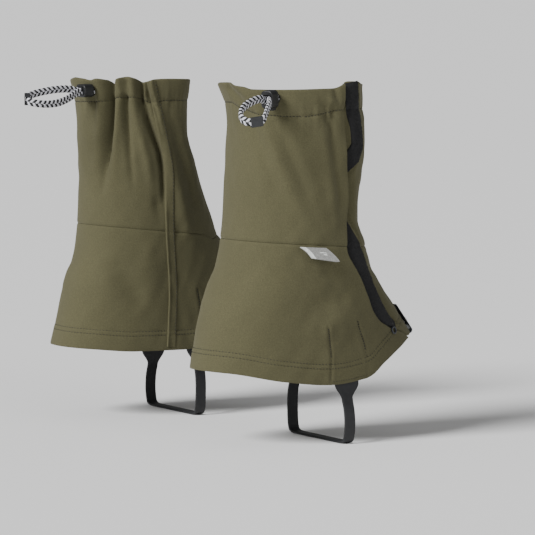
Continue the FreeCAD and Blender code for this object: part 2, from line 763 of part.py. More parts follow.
def hook_tab(side):
    body = doc.addObject("PartDesign::Body", f"{side}_hook_tab")
    middle = size("tab_below") - size("tab_long") / 2
    lift = size("tab_rise") + size("tab_thick") / 2
    pad(body, rectangle(body, "XY_Plane", "tab_long", "tab_wide", (middle, 0), lift), "tab_thick")
    pocket_through(body, circle(body, "XY_Plane", "hook_hole_radius"))
    keep(body.Name, body, hook_frame(side))


def hook_rivet(side):
    """Shank, domed head and washer of the rivet that holds the hook on its tab."""
    low = size("tab_rise") - size("rivet_back") - 0.05
    top = size("hook_rise") + size("hook_thick") + 0.05
    pieces = []
    for name, radius, start, end in (
        ("shank", "rivet_shank", low, top + 0.2),
        ("head", "rivet_head", top, top + size("rivet_head_thick")),
        ("back", "rivet_head", low, low + size("rivet_back")),
    ):
        piece = doc.addObject("Part::Cylinder", f"{side}_rivet_{name}")
        piece.setExpression("Radius", f"Sizes.{radius}")
        piece.Height = end - start
        piece.Placement.Base = Vector(0, 0, start)
        pieces.append(piece)
    rivet = doc.addObject("Part::MultiFuse", f"{side}_hook_rivet")
    rivet.Shapes = pieces
    doc.recompute()
    keep(rivet.Name, rivet, hook_frame(side))


def flap_eyelet(side):
    """The ring in the flap's front corner that goes over the lace hook."""
    ring = doc.addObject("Part::Torus", f"{side}_flap_eyelet")
    ring.setExpression("Radius1", "Sizes.eyelet_ring")
    ring.setExpression("Radius2", "Sizes.eyelet_wire")
    angle, z = 25.0, 88.0
    place = skin(side, angle, z) + outward(side, angle, z) * (size("eyelet_wire") + 0.15)
    keep(ring.Name, ring, Placement(place, Rotation(Vector(0, 0, 1), outward(side, angle, z))))


def stirrup_strap(side):
    """A moulded strap under the foot, wider where it is sewn inside the hem."""
    thick, x = size("strap_thick"), size("strap_x")
    top, beside, corner = (size(f"strap_{name}") for name in ("half_top", "half_side", "corner"))
    path = []
    for sign, end, hem_z in (
        (1, size("strap_lateral_top"), size("strap_lateral_hem")),
        (-1, size("strap_medial_top"), size("strap_medial_hem")),
    ):
        arm = [(top, end), (top, hem_z - 2), (beside, hem_z - 16), (beside - 1, thick / 2)]
        arm = [(sign * lateral, z) for lateral, z in arm]
        path.append(arm)
    line = path[0] + path[1][::-1]
    points = [in_frame(side, x, lateral, z) for lateral, z in line]
    spine = rounded_wire(points, (4, 6, corner, corner, 6, 4))
    flat = Part.makePolygon(strap_section(points, size("strap_wide"), thick))
    solid = spine.makePipeShell([flat], True, False)
    for arm in path:
        solid = solid.fuse(flare(side, arm))
    keep(f"{side}_stirrup_strap", solid.removeSplitter())


def strap_section(points, wide, thick):
    start = points[0]
    across, deep = Vector(wide / 2, 0, 0), Vector(0, thick / 2, 0)
    corners = [start + across + deep, start - across + deep, start - across - deep,
               start + across - deep]
    return corners + corners[:1]


def rounded_wire(points, radii):
    edges, start = [], points[0]
    for k, radius in zip(range(1, len(points) - 1), radii):
        before = (points[k] - points[k - 1]).normalize()
        after = (points[k + 1] - points[k]).normalize()
        half = before.getAngle(after) / 2
        cut = radius * math.tan(half)
        first, last = points[k] - before * cut, points[k] + after * cut
        inward = (after - before).normalize()
        bulge = points[k] + inward * (radius / math.cos(half) - radius)
        edges.append(Part.LineSegment(start, first).toShape())
        edges.append(Part.Arc(first, bulge, last).toShape())
        start = last
    edges.append(Part.LineSegment(start, points[-1]).toShape())
    return Part.Wire(edges)


def flare(side, arm):
    """The widened upper end of one arm of the strap."""
    thick, x = size("strap_thick"), size("strap_x")
    (lateral, end), (_, turn) = arm[:2]
    wide, narrow = size("flare_wide") / 2, size("strap_wide") / 2
    neck = turn + 0.5
    shoulder = min(end, neck + size("flare_tall"))
    outline_points = [(-wide, end), (wide, end), (wide, shoulder), (narrow, neck), (-narrow, neck),
                      (-wide, shoulder)]
    points = [in_frame(side, x + across, lateral, z) for across, z in outline_points]
    points = [p - Vector(0, thick / 2, 0) for p in points]
    return Part.Face(Part.makePolygon(points + points[:1])).extrude(Vector(0, thick, 0))


for side in SIGNS:
    panels(side)
    top_bands(side)
    strips(side)
    hem_pieces(side)
    channel_cords(side)
    free_loop(side)
    cord_lock_body(side)
    cord_lock_plunger(side)
    cord_lock_spring(side)
    cord_end_clip(side)
    cord_buttonhole(side)
    label(side)
    lace_hook(side)
    hook_tab(side)
    hook_rivet(side)
    flap_eyelet(side)
    stirrup_strap(side)

doc.recompute()
for thing in doc.Objects:
    assert "Invalid" not in thing.State and "Error" not in thing.State, (thing.Label, thing.State)
for node, thing in nodes.items():
    assert not thing.Shape.isNull() and thing.Shape.isValid(), node
    assert thing.Shape.Volume > 0, node
os.makedirs("parts", exist_ok=True)
for node, thing in nodes.items():
    thing.Shape.exportStep(f"parts/{node}.step")
print(len(nodes), "sub-parts")
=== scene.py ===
import math

import bmesh
import bpy
import numpy as np
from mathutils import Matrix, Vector


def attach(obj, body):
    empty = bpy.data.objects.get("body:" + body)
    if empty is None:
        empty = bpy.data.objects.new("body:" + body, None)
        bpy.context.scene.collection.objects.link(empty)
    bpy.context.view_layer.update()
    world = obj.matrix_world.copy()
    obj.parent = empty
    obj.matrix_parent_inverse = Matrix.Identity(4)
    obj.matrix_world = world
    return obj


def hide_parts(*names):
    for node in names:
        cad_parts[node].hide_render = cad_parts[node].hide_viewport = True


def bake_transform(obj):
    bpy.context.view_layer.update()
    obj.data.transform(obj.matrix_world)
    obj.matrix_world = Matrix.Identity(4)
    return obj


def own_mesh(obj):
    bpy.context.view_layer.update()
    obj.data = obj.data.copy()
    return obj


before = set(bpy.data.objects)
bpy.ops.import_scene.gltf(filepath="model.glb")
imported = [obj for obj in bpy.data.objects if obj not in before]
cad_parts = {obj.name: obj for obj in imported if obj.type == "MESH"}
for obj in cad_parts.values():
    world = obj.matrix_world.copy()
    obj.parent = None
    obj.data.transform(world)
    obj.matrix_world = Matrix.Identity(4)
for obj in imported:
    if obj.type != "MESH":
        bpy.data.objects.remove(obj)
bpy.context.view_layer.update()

# A pair of low gaiters. Lengths below are in millimetres and angles in degrees unless a name
# says otherwise. On each gaiter the angle is 0 at the toes, 90 on the foot's outer side and 180
# at the heel, and x is measured forwards from the middle of that foot.
MM = 0.001
SIGNS = {"right": -1.0, "left": 1.0}
FOOT_FORWARD, FOOT_APART, LEG_CENTRE = 6.5, 118.0, 8.0
# The cloth's thickness, the height at which angles along the top band are taken, and the mean
# radii for the weave's directions and for the steps of a patch.
CLOTH, BAND_Z, UV_RADIUS, PATCH_RADIUS = 0.9, 275.0, 58, 62


def linked(name, data):
    """A new object in the scene that shows the data."""
    made = bpy.data.objects.new(name, data)
    bpy.context.scene.collection.objects.link(made)
    return made


# ---- camera ----

CAMERA_AT = (-1.4889, -2.8904, 0.381)
CAMERA_TURN, CAMERA_TILT = 28.0, 4.39
LENS, SENSOR = 265.0, 36.0


def make_camera():
    data = bpy.data.cameras.new("camera")
    data.lens, data.sensor_width = LENS, SENSOR
    data.clip_start, data.clip_end = 0.1, 50.0
    camera = linked("camera", data)
    camera.location = CAMERA_AT
    camera.rotation_euler = (math.radians(90 - CAMERA_TILT), 0, -math.radians(CAMERA_TURN))
    bpy.context.scene.camera = camera


make_camera()

# ---- lines and sections of the cloth ----

SECTIONS = {
    "right": (
        (45, 88, 134, 49.5), (60, 86, 125, 49.5), (84, 81.5, 108.5, 49), (104, 77, 94, 49),
        (129, 66, 74.5, 50), (148, 60, 65, 51.5), (160, 56.5, 60, 52.5), (175, 54.5, 57, 53),
        (193, 53.5, 57, 53), (250, 53, 58, 53), (264, 54, 58, 53.5), (286, 57, 59, 54.5),
    ),
    "left": (
        (45, 88, 134, 48.5), (60, 86, 125, 48.5), (84, 81.5, 108.5, 48), (104, 76, 93, 48),
        (129, 64.5, 76, 47.5), (148, 60.5, 65.5, 47.5), (162, 59, 58.5, 47.5),
        (183, 58, 50, 47), (210, 57.5, 40, 46.5), (240, 58.5, 31.5, 46), (264, 60.5, 31, 46),
        (284, 63, 34, 47.5),
    ),
}
HEM_X = (-92, -69, -31, 11, 43, 50, 60, 72, 87, 104, 112)
HEM_LATERAL = (62, 59.5, 52.5, 48.5, 52, 54.5, 61.5, 68.5, 75.5, 82.5, 85.5)
HEM_MEDIAL = (61, 59.5, 57, 57, 60, 62, 67, 71, 77, 82.5, 85.5)
CLOSURE = ((80, 12), (84, 16), (91, 29), (97, 37), (107, 44.5), (118, 49.5), (134, 57),
           (157, 73), (195, 72), (234, 75), (286, 79))
MEDIAL_SEAM = ((60, -100), (108, -97.5), (162, -100.5), (205, -101.5), (235, -107), (284, -119))
SEAM_HEIGHT = {"right": 160.0, "left": 157.0}
SEAM_SLOPE = {"right": 0.065, "left": 0.1}
# Height of the rim and of the stitching below the top band, by angle.
RIM = {
    "right": ((-180, 288.6), (-168, 288), (-155, 285), (-140, 281), (-118, 279.5), (-95, 278.5),
              (-60, 279), (-20, 281), (20, 286), (42, 287), (58, 289), (72, 289.5), (79, 287.5),
              (88, 284.2), (100, 284), (120, 283.6), (140, 283.4), (155, 283.6), (161, 285.4),
              (168, 286.4), (174, 288.6), (180, 288.6)),
    "left": ((-180, 287), (-170, 286), (-165, 285), (-158.5, 286.4), (-154, 285), (-151.5, 281),
             (-148, 284.5), (-143, 287.2), (-138, 288), (-133, 286.6), (-128, 283), (-124, 283.6),
             (-116, 285.6), (-105, 286), (-70, 285.2), (-28, 283), (10, 280), (40, 280),
             (70, 280.5), (95, 279), (120, 278), (140, 279), (160, 283), (180, 287)),
}
BAND_STITCH = {
    "right": ((-180, 272.5), (-160, 272), (-120, 267), (-60, 266), (20, 266.5), (74, 267),
              (80, 267), (97, 264.5), (117, 262), (143, 263), (165, 267), (180, 272.5)),
    "left": ((-180, 266), (-160, 267), (-152, 267.5), (-146, 270.3), (-134, 270.6), (-127, 267.8),
             (-119, 266), (-104, 267.6), (-60, 267), (20, 266), (74, 266), (120, 266.5),
             (180, 266)),
}
# The middle of the hook-and-loop tape on the front cloth. It wanders below the flap and back.
TAPE = ((90, 22.5), (96, 29), (103, 36.5), (112, 41), (122, 45), (133, 50), (145, 57.5),
        (157, 65.5), (170, 73), (182, 80), (192, 86), (203, 87), (213, 83), (222, 75), (230, 66),
        (240, 60.5), (252, 62), (268, 67), (289, 71))
TAPE_HALF = 6.8
# How far the cloth's outline stands off the plain sections, by height, round a line of angles.
OUTLINE = {
    "right": (
        (((60, 203), (290, 203)), 42,
         ((106, 0), (116, 1.2), (126, 2.4), (133, 1.6), (140, 0.3), (170, 1), (194, 0.7), (210, 0),
          (226, -0.6), (242, -1.3), (258, -2.4), (274, -2.2), (282, -0.5), (288, 1.5))),
        (((98, 6), (130, 18), (160, 32), (180, 36), (290, 36)), 24,
         ((106, -0.4), (130, -0.8), (138, -2.4), (148, -1.6), (160, -0.5), (170, -2.6), (178, -4.8),
          (194, -4.4), (202, -3.6), (210, -2.2), (218, -1.4), (234, 0), (258, -0.4), (266, -2.2),
          (274, -3.4), (282, -4), (288, -2.6))),
    ),
    "left": (
        (((60, 166), (290, 166)), 42,
         ((62, -0.4), (82, -1.3), (98, -0.9), (106, 0), (114, 2.1), (122, 3), (130, 1.8), (162, 1.5),
          (186, 1.5), (202, 1), (214, 1.8), (234, 1.9), (254, 1.3), (274, 1.4), (284, 2.8))),
        (((98, -6), (150, -24), (178, -33), (202, -45), (226, -57), (242, -63), (290, -63)), 26,
         ((146, 0), (154, -1.6), (164, -0.9), (186, -1.5), (218, -0.9), (230, -2), (242, -3),
          (258, -2.9), (284, -2.4))),
    ),
}


def curve(table, column=1):
    """A smooth function through a table's rows that never overshoots them."""
    xs = np.array([row[0] for row in table], float)
    ys = np.array([row[column] for row in table], float)
    slopes = np.diff(ys) / np.diff(xs)
    tangents = np.zeros(len(xs))
    tangents[0], tangents[-1] = slopes[0], slopes[-1]
    product = slopes[:-1] * slopes[1:]
    total = np.where(slopes[:-1] + slopes[1:] == 0, 1, slopes[:-1] + slopes[1:])
    tangents[1:-1] = np.where(product > 0, 2 * product / total, 0)

    def at(place):
        place = np.clip(np.asarray(place, float), xs[0], xs[-1])
        k = np.clip(np.searchsorted(xs, place, side="right") - 1, 0, len(xs) - 2)
        wide = xs[k + 1] - xs[k]
        t = (place - xs[k]) / wide
        return (
            ys[k] * (1 + 2 * t) * (1 - t) ** 2 + tangents[k] * wide * t * (1 - t) ** 2
            + ys[k + 1] * t * t * (3 - 2 * t) - tangents[k + 1] * wide * t * t * (1 - t)
        )

    return at


def wrapped(angle):
    return (np.asarray(angle, float) + 180) % 360 - 180


def ease(t):
    t = np.clip(t, 0, 1)
    return t * t * (3 - 2 * t)


def bell(away, width):
    return np.exp(-((away / width) ** 2))


def bulged(value, power):
    """A sine or cosine pushed out towards a square with rounded corners."""
    return np.sign(value) * abs(value) ** power


SHAPES = {side: [curve(rows, k) for k in (1, 2, 3)] for side, rows in SECTIONS.items()}
hem_lateral, hem_medial = (curve(list(zip(HEM_X, z))) for z in (HEM_LATERAL, HEM_MEDIAL))
closure_at, medial_at, tape_at = curve(CLOSURE), curve(MEDIAL_SEAM), curve(TAPE)
RIM_AT = {side: curve(rows) for side, rows in RIM.items()}
STITCH_AT = {side: curve(rows) for side, rows in BAND_STITCH.items()}


def reach(side, angle, z):
    rear, front, half = (shape(z) for shape in SHAPES[side])
    cosine, sine = np.cos(np.radians(angle)), np.sin(np.radians(angle))
    low = ease((150 - np.asarray(z, float)) / 70)
    ahead = cosine > 0
    long = np.where(ahead, front - LEG_CENTRE, rear + LEG_CENTRE)
    power = np.where(ahead, 2.15 - 0.45 * low * cosine, 2.15 + 0.25 * low)
    return (abs(cosine / long) ** power + abs(sine / half) ** power) ** (-1 / power)


def forward(side, angle, z):
    return LEG_CENTRE + reach(side, angle, z) * np.cos(np.radians(angle))


def point(side, x, lateral, z):
    """A point in metres, in the row frame, from places on one foot."""
    sign = SIGNS[side]
    x, lateral, z = np.broadcast_arrays(*(np.asarray(v, float) for v in (x, lateral, z)))
    return np.stack([x - sign * FOOT_FORWARD, sign * (FOOT_APART + lateral), z], -1) * MM


def hem_of(side):
    angles = np.arange(-180, 181, 1.0)
    share = np.clip(0.5 + 1.2 * np.sin(np.radians(angles)), 0, 1)
    z = np.full(angles.shape, 60.0)
    for _ in range(24):
        x = forward(side, angles, z)
        z = 0.5 * z + 0.5 * (share * hem_lateral(x) + (1 - share) * hem_medial(x))
    return lambda angle: np.interp(wrapped(angle), angles, z)


def hinge_of(side):
    """The angle of the line that the flap folds about, by height."""
    heights = np.arange(40.0, 295.0, 3.0)
    x = 42 - 62 * (heights - 52) / 233
    low, high = np.full(heights.shape, 10.0), np.full(heights.shape, 170.0)
    for _ in range(24):
        middle = (low + high) / 2
        behind = forward(side, middle, heights) > x
        low, high = np.where(behind, middle, low), np.where(behind, high, middle)
    return lambda z: np.interp(z, heights, low)


HEM = {side: hem_of(side) for side in SIGNS}
HINGE = {side: hinge_of(side) for side in SIGNS}


def seam(side, angle):
    middle = SEAM_HEIGHT[side]
    dip = 3.2 * bell(wrapped(angle) + 46, 9) if side == "left" else 0
    return middle - SEAM_SLOPE[side] * forward(side, angle, middle) - dip


def rim(side, angle):
    return RIM_AT[side](wrapped(angle))


def stitch_line(side, angle):
    return STITCH_AT[side](wrapped(angle))


# ---- relief of the cloth ----

# Folds: how far each stands out (or sinks in, below 0), its width, and its line as angle, height
# and share of the full depth.
FOLDS = {
    "right": (
        (-2.4, 4.5, ((176, 284, 1), (168, 276, 1), (160, 262, 0.8), (148, 235, 0.5), (135, 200, 0))),
        (2.0, 5.0, ((170, 288, 1), (160, 279, 0.8), (150, 268, 0.6), (143, 250, 0.3))),
        (2.1, 6.5, ((152, 262, 0.5), (140, 236, 1), (127, 205, 0.8), (116, 180, 0))),
        (-2.1, 5.5, ((140, 262, 0.3), (129, 240, 1), (117, 212, 0.9), (106, 185, 0))),
        (1.3, 7.0, ((162, 250, 0.3), (152, 225, 1), (143, 195, 0.6), (138, 175, 0))),
        (1.8, 6.0, ((103, 262, 0.3), (96, 240, 0.7), (89, 205, 1), (85, 175, 0.4))),
        (-2.0, 4.0, ((92, 260, 0.6), (88, 235, 1), (83, 205, 0.8), (80, 178, 0.3))),
        (-1.8, 2.6, ((102, 273, 0.2), (92, 267, 1), (86, 262, 0.6), (82, 254, 0))),
        (-1.5, 2.2, ((96, 262, 1), (90, 254, 0.7), (88, 246, 0))),
        (1.6, 3.0, ((98, 279, 0.3), (90, 274, 1), (84, 271, 0.5))),
        (-1.6, 2.2, ((88, 288, 1), (86, 277, 0.7), (84, 270, 0.2))),
        (-2.0, 10.0, ((66, 132, 0), (80, 120, 1), (95, 114, 0.8), (114, 120, 0))),
        (1.8, 11.0, ((58, 108, 0.3), (78, 98, 1), (104, 92, 0.7), (130, 98, 0))),
        (-1.8, 6.0, ((100, 150, 0.2), (92, 138, 1), (84, 120, 0))),
        (-3.0, 5.0, ((34, 128, 0.2), (29, 112, 1), (22, 96, 0.8))),
        (1.6, 4.0, ((44, 126, 0), (38, 112, 1), (30, 96, 0.8))),
    ),
    "left": (
        (-2.4, 1.7, ((-151.5, 270, 0.6), (-152.5, 256, 1), (-155, 236, 0.8), (-158, 212, 0.2))),
        (-9.2, 3.0, ((-151.5, 290, 1), (-151.5, 276, 1), (-152, 266, 0.9), (-154, 246, 0.75),
                     (-156.5, 229, 0.6), (-159, 210, 0.3), (-161, 188, 0))),
        (-2.2, 7.0, ((-153, 262, 0.6), (-157, 229, 1), (-160, 200, 0.5), (-163, 175, 0))),
        (3.4, 4.0, ((-159, 286, 1), (-159, 268, 0.8), (-162, 240, 0.7), (-166, 205, 0))),
        (3.6, 3.6, ((-145, 288, 1), (-146, 268, 0.9), (-148, 240, 0.7), (-151, 205, 0.1))),
        (-2.2, 2.2, ((-147.5, 284, 0.9), (-146, 276, 0.6), (-144.5, 270, 0.2))),
        (-4.6, 2.6, ((-141.5, 270, 1), (-140.5, 250, 1), (-138, 220, 0.5), (-135, 190, 0))),
        (2.8, 4.0, ((-135.5, 288, 1), (-135, 266, 0.9), (-129.5, 244, 1), (-122, 216, 0.8),
                    (-117, 180, 0))),
        (-1.8, 2.0, ((-138.5, 283, 0.8), (-137, 276, 0.6), (-136, 270, 0))),
        (-6.4, 2.4, ((-129, 286, 0.9), (-128, 268, 1), (-123, 252, 1), (-116, 236, 1),
                     (-110.5, 224, 1), (-108, 210, 0.6), (-107, 190, 0.35), (-106, 170, 0))),
        (-3.4, 2.2, ((-124.5, 286, 1), (-121.5, 272, 1), (-115, 262, 0.6), (-112, 250, 0))),
        (2.2, 2.2, ((-119, 284, 0.8), (-117, 272, 1), (-112, 258, 0.8), (-108, 240, 0.2))),
        (2.6, 6.0, ((-111, 264, 0.3), (-102, 230, 0.9), (-92, 198, 1), (-84, 172, 0.9),
                    (-76, 148, 0.2))),
        (-2.6, 6.5, ((-104, 262, 0.2), (-92, 238, 0.7), (-81, 208, 1), (-71, 182, 0.6))),
        (1.4, 9.0, ((-84, 240, 0.2), (-70, 212, 1), (-58, 185, 0.5))),
        (-1.8, 4.5, ((-118, 196, 0.2), (-113, 180, 1), (-111, 166, 0.4))),
        (1.2, 9.0, ((-150, 150, 0.3), (-150, 120, 1), (-150, 90, 0.3))),
        (-2.2, 8.0, ((-158, 132, 0), (-146, 126, 0.8), (-134, 108, 1), (-126, 92, 0))),
        (1.3, 8.0, ((-124, 150, 0), (-122, 128, 1), (-118, 100, 0.3))),
    ),
}
DARTS = {
    "right": (((6.3, 94.5), (9.7, 70.0), (9.3, 51.5)), ((34.9, 99.0), (43.2, 74.5), (45.5, 59.0))),
    "left": (((24.7, 108.0), (27.4, 93.0), (28.5, 64.0)),),
}


HEM_ROWS = (13.0, 16.5)


def fold(side, angle, z, height, width, line):
    per_degree = reach(side, angle, z) * math.pi / 180
    total = np.zeros(np.shape(angle))
    for (a, za, sa), (b, zb, sb) in zip(line, line[1:]):
        x, y = wrapped(angle - a) * per_degree, z - za
        dx, dy = (b - a) * per_degree, zb - za
        t = np.clip((x * dx + y * dy) / (dx * dx + dy * dy), 0, 1)
        near = np.exp(-((x - t * dx) ** 2 + (y - t * dy) ** 2) / width ** 2)
        total = np.maximum(total, (sa + (sb - sa) * t) * near)
    return height * total


WAVES = np.random.default_rng(7).uniform(-1, 1, (40, 4))


def drape(side, angle, z):
    """Gentle unevenness of cloth that hangs on a leg."""
    turn = np.radians(angle) + (0.7 if side == "left" else 0)
    total = np.zeros(np.shape(angle))
    for k, (a, b, c, d) in enumerate(WAVES[:16]):
        around, up = 2 + k % 8, 0.02 + 0.035 * abs(b)
        total += 0.16 * a * np.cos(around * turn + up * z * np.sign(c) + 6 * d)
    for k, (a, b, c, d) in enumerate(WAVES[16:]):
        around, up = 14 + k % 13, 0.1 + 0.25 * abs(b)
        total += 0.045 * a * np.cos(around * turn + up * z * np.sign(c) + 6 * d)
    return total


# Where the top band is gathered most: the middle angle, its spread and the puckers' height.
GATHERED = {"right": (86.0, 16.0, 0.55), "left": (-138.0, 24.0, 0.85)}


def gathers(side, angle, z):
    """Small puckers on both sides of the stitching under the top band."""
    turn = np.radians(angle)
    line = stitch_line(side, angle)
    near = np.exp(-np.clip(line - z, 0, 99) / 9) * np.exp(-np.clip(z - line, 0, 99) / 7)
    middle, spread, high = GATHERED[side]
    tight = 0.22 + high * bell(wrapped(angle - middle), spread)
    wave = np.cos(38 * turn + 1.5 * np.sin(5 * turn)) + 0.6 * np.cos(61 * turn + 2)
    return tight * near * wave


def outline(side, angle, z):
    total = np.zeros(np.shape(angle))
    for centres, width, pushes in OUTLINE[side]:
        total += curve(pushes)(z) * bell(wrapped(angle - curve(centres)(z)), width)
    return total


def angle_ahead(side, x, z, low, high):
    """The angle between low and high at which the cloth is x ahead of the foot's middle."""
    for _ in range(30):
        middle = (low + high) / 2
        low, high = (middle, high) if forward(side, middle, z) > x else (low, middle)
    return low


def dart_angle(side, x, z):
    """The right gaiter's darts are on its outer side and the left one's on its inner side."""
    ends = (20.0, 160.0) if side == "right" else (-20.0, -160.0)
    return angle_ahead(side, x, z, *ends)


DART_LINES = {
    side: [[(dart_angle(side, x, z), z, 1.0) for x, z in line] for line in lines]
    for side, lines in DARTS.items()
}


def relief(side, angle, z):
    """How far the cloth's outer face stands out of its plain section."""
    angle, z = np.broadcast_arrays(np.asarray(angle, float), np.asarray(z, float))
    total = drape(side, angle, z) + gathers(side, angle, z) + outline(side, angle, z)
    for height, width, line in FOLDS[side]:
        total = total + fold(side, angle, z, height, width, line)
    line, top = stitch_line(side, angle), rim(side, angle)
    within = np.clip((z - line) / (top - line), 0, 1)
    total = total + 0.7 * np.sin(math.pi * within ** 0.8) - 0.5 * bell(z - line, 1.1)
    total = total + 1.3 * within ** 2 * bell(wrapped(angle - 190), 34)
    above = z - HEM[side](angle)
    for row in HEM_ROWS:
        total = total - 0.32 * bell(above - row, 0.8)
    total = total + 0.35 * ease((HEM_ROWS[-1] - above) / 1.5)
    total = total - 0.35 * bell(z - seam(side, angle), 1.3)
    for dart in DART_LINES[side]:
        total = total + fold(side, angle, z, -0.8, 1.1, dart)
        total = total + fold(side, angle, z, 0.45, 4.5, dart)
    return total


def on_rear(side, angle, z):
    return np.zeros(np.shape(angle))


def on_front(side, angle, z):
    """The front cloth dips under the flap and carries the tape on a raised, turned edge."""
    ahead = (tape_at(z) - angle) * reach(side, angle, z) * math.pi / 180
    raised = 1.5 * ease((10.2 - ahead) / 1.4) * ease((np.asarray(z) - 88) / 6)
    rolled = 0.7 * bell(ahead - 9.4, 1.0) - 1.1 * bell(ahead - 12.0, 1.6)
    wide = 14 - 9 * ease((104 - np.asarray(z)) / 14)
    dip = 4.6 * ease((angle - closure_at(z) + wide) / wide)
    return raised + rolled * ease((np.asarray(z) - 88) / 6) - dip


def on_flap(side, angle, z):
    """The flap's free edge stands a little off, more in some places than in others."""
    away = (angle - closure_at(z)) * reach(side, angle, z) * math.pi / 180
    loose = 0.9 + 0.7 * np.sin(z / 15.0) + 0.4 * np.sin(z / 6.1 + 1)
    return loose * np.exp(-np.clip(away, 0, 99) / 5.0)


PARTS = {"rear": on_rear, "front": on_front, "flap": on_flap}


def lay(side, part, angle, z, out=0.0):
    """Points on the cloth, in metres; out is how far they stand off its outer face."""
    angle, z = np.broadcast_arrays(np.asarray(angle, float), np.asarray(z, float))
    far = reach(side, angle, z) + relief(side, angle, z) + PARTS[part](side, angle, z) + out
    turn = np.radians(angle)
    return point(side, LEG_CENTRE + far * np.cos(turn), far * np.sin(turn), z)


def arc(side, length, z):
    """The angle that a length of cloth takes up beside the closure."""
    return np.degrees(length / reach(side, closure_at(z), z))


# ---- materials ----


def new_material(name, colour, rough, metallic=0.0, sheen=0.0, coat=0.0):
    material = bpy.data.materials.new(name)
    material.use_nodes = True
    shader = material.node_tree.nodes["Principled BSDF"]
    shader.inputs["Base Color"].default_value = (*colour, 1)
    shader.inputs["Roughness"].default_value = rough
    shader.inputs["Metallic"].default_value = metallic
    shader.inputs["Sheen Weight"].default_value = sheen
    shader.inputs["Sheen Roughness"].default_value = 0.5
    shader.inputs["Coat Weight"].default_value = coat
    return material, material.node_tree, shader


def add(tree, kind, **values):
    node = tree.nodes.new(kind)
    for key, value in values.items():
        if key in node.inputs:
            node.inputs[key].default_value = value
        else:
            setattr(node, key, value)
    return node


def noise(tree, scale, detail=2.0, coordinates="Object"):
    where = add(tree, "ShaderNodeTexCoord")
    texture = add(tree, "ShaderNodeTexNoise", Scale=scale, Detail=detail)
    tree.links.new(where.outputs[coordinates], texture.inputs["Vector"])
    return texture.outputs["Fac"]


def vary(tree, shader, factor, dark, light, low=0.35, high=0.65, previous=None):
    """Colour that runs from dark to light with a texture."""
    ramp = add(tree, "ShaderNodeValToRGB")
    ramp.color_ramp.elements[0].position, ramp.color_ramp.elements[1].position = low, high
    ramp.color_ramp.elements[0].color = (*dark, 1)
    ramp.color_ramp.elements[1].color = (*light, 1)
    tree.links.new(factor, ramp.inputs["Fac"])
    out = ramp.outputs["Color"]
    if previous is not None:
        mix = add(tree, "ShaderNodeMix", data_type="RGBA", blend_type="MULTIPLY")
        mix.inputs["Factor"].default_value = 1.0
        tree.links.new(previous, mix.inputs[6])
        tree.links.new(out, mix.inputs[7])
        out = mix.outputs[2]
    tree.links.new(out, shader.inputs["Base Color"])
    return out


def bump(tree, shader, height, strength, distance=MM * 0.3):
    node = add(tree, "ShaderNodeBump", Strength=strength, Distance=distance)
    tree.links.new(height, node.inputs["Height"])
    before = shader.inputs["Normal"].links
    if before:
        tree.links.new(before[0].from_socket, node.inputs["Normal"])
    tree.links.new(node.outputs["Normal"], shader.inputs["Normal"])


def weave(tree, pitch):
    """Crossing threads over the cloth's own lengthwise and crosswise directions."""
    where = add(tree, "ShaderNodeTexCoord")
    waves = []
    for direction in ("X", "Y"):
        wave = add(tree, "ShaderNodeTexWave", Scale=0.314 / pitch, Distortion=0.6, Detail=1.0)
        wave.bands_direction = direction
        tree.links.new(where.outputs["UV"], wave.inputs["Vector"])
        waves.append(wave.outputs["Fac"])
    both = add(tree, "ShaderNodeMath", operation="MAXIMUM")
    tree.links.new(waves[0], both.inputs[0])
    tree.links.new(waves[1], both.inputs[1])
    return both.outputs[0]


def shade(colour, factor):
    return tuple(c * factor for c in colour)


def cloth_material(name, colour):
    material, tree, shader = new_material(name, colour, 0.9, sheen=0.1)
    shader.inputs["Sheen Tint"].default_value = (0.75, 0.72, 0.55, 1)
    shader.inputs["Specular IOR Level"].default_value = 0.25
    dark, light = shade(colour, 0.86), shade(colour, 1.14)
    grain = vary(tree, shader, noise(tree, 1100, 3), dark, light, 0.3, 0.7)
    grain = vary(tree, shader, noise(tree, 2600, 1), (0.9,) * 3, (1.08,) * 3, 0.3, 0.7, grain)
    vary(tree, shader, noise(tree, 28, 3), (0.95,) * 3, (1.04,) * 3, 0.3, 0.7, grain)
    bump(tree, shader, weave(tree, 0.42), 0.3, MM * 0.1)
    bump(tree, shader, noise(tree, 140, 3), 0.1, MM * 0.4)
    return material


def plain_material(name, colour, rough, scale=400, depth=0.2, **extra):
    material, tree, shader = new_material(name, colour, rough, **extra)
    vary(tree, shader, noise(tree, scale, 3), shade(colour, 0.75), shade(colour, 1.25), 0.3, 0.7)
    bump(tree, shader, noise(tree, scale * 2.2, 3), depth)
    return material


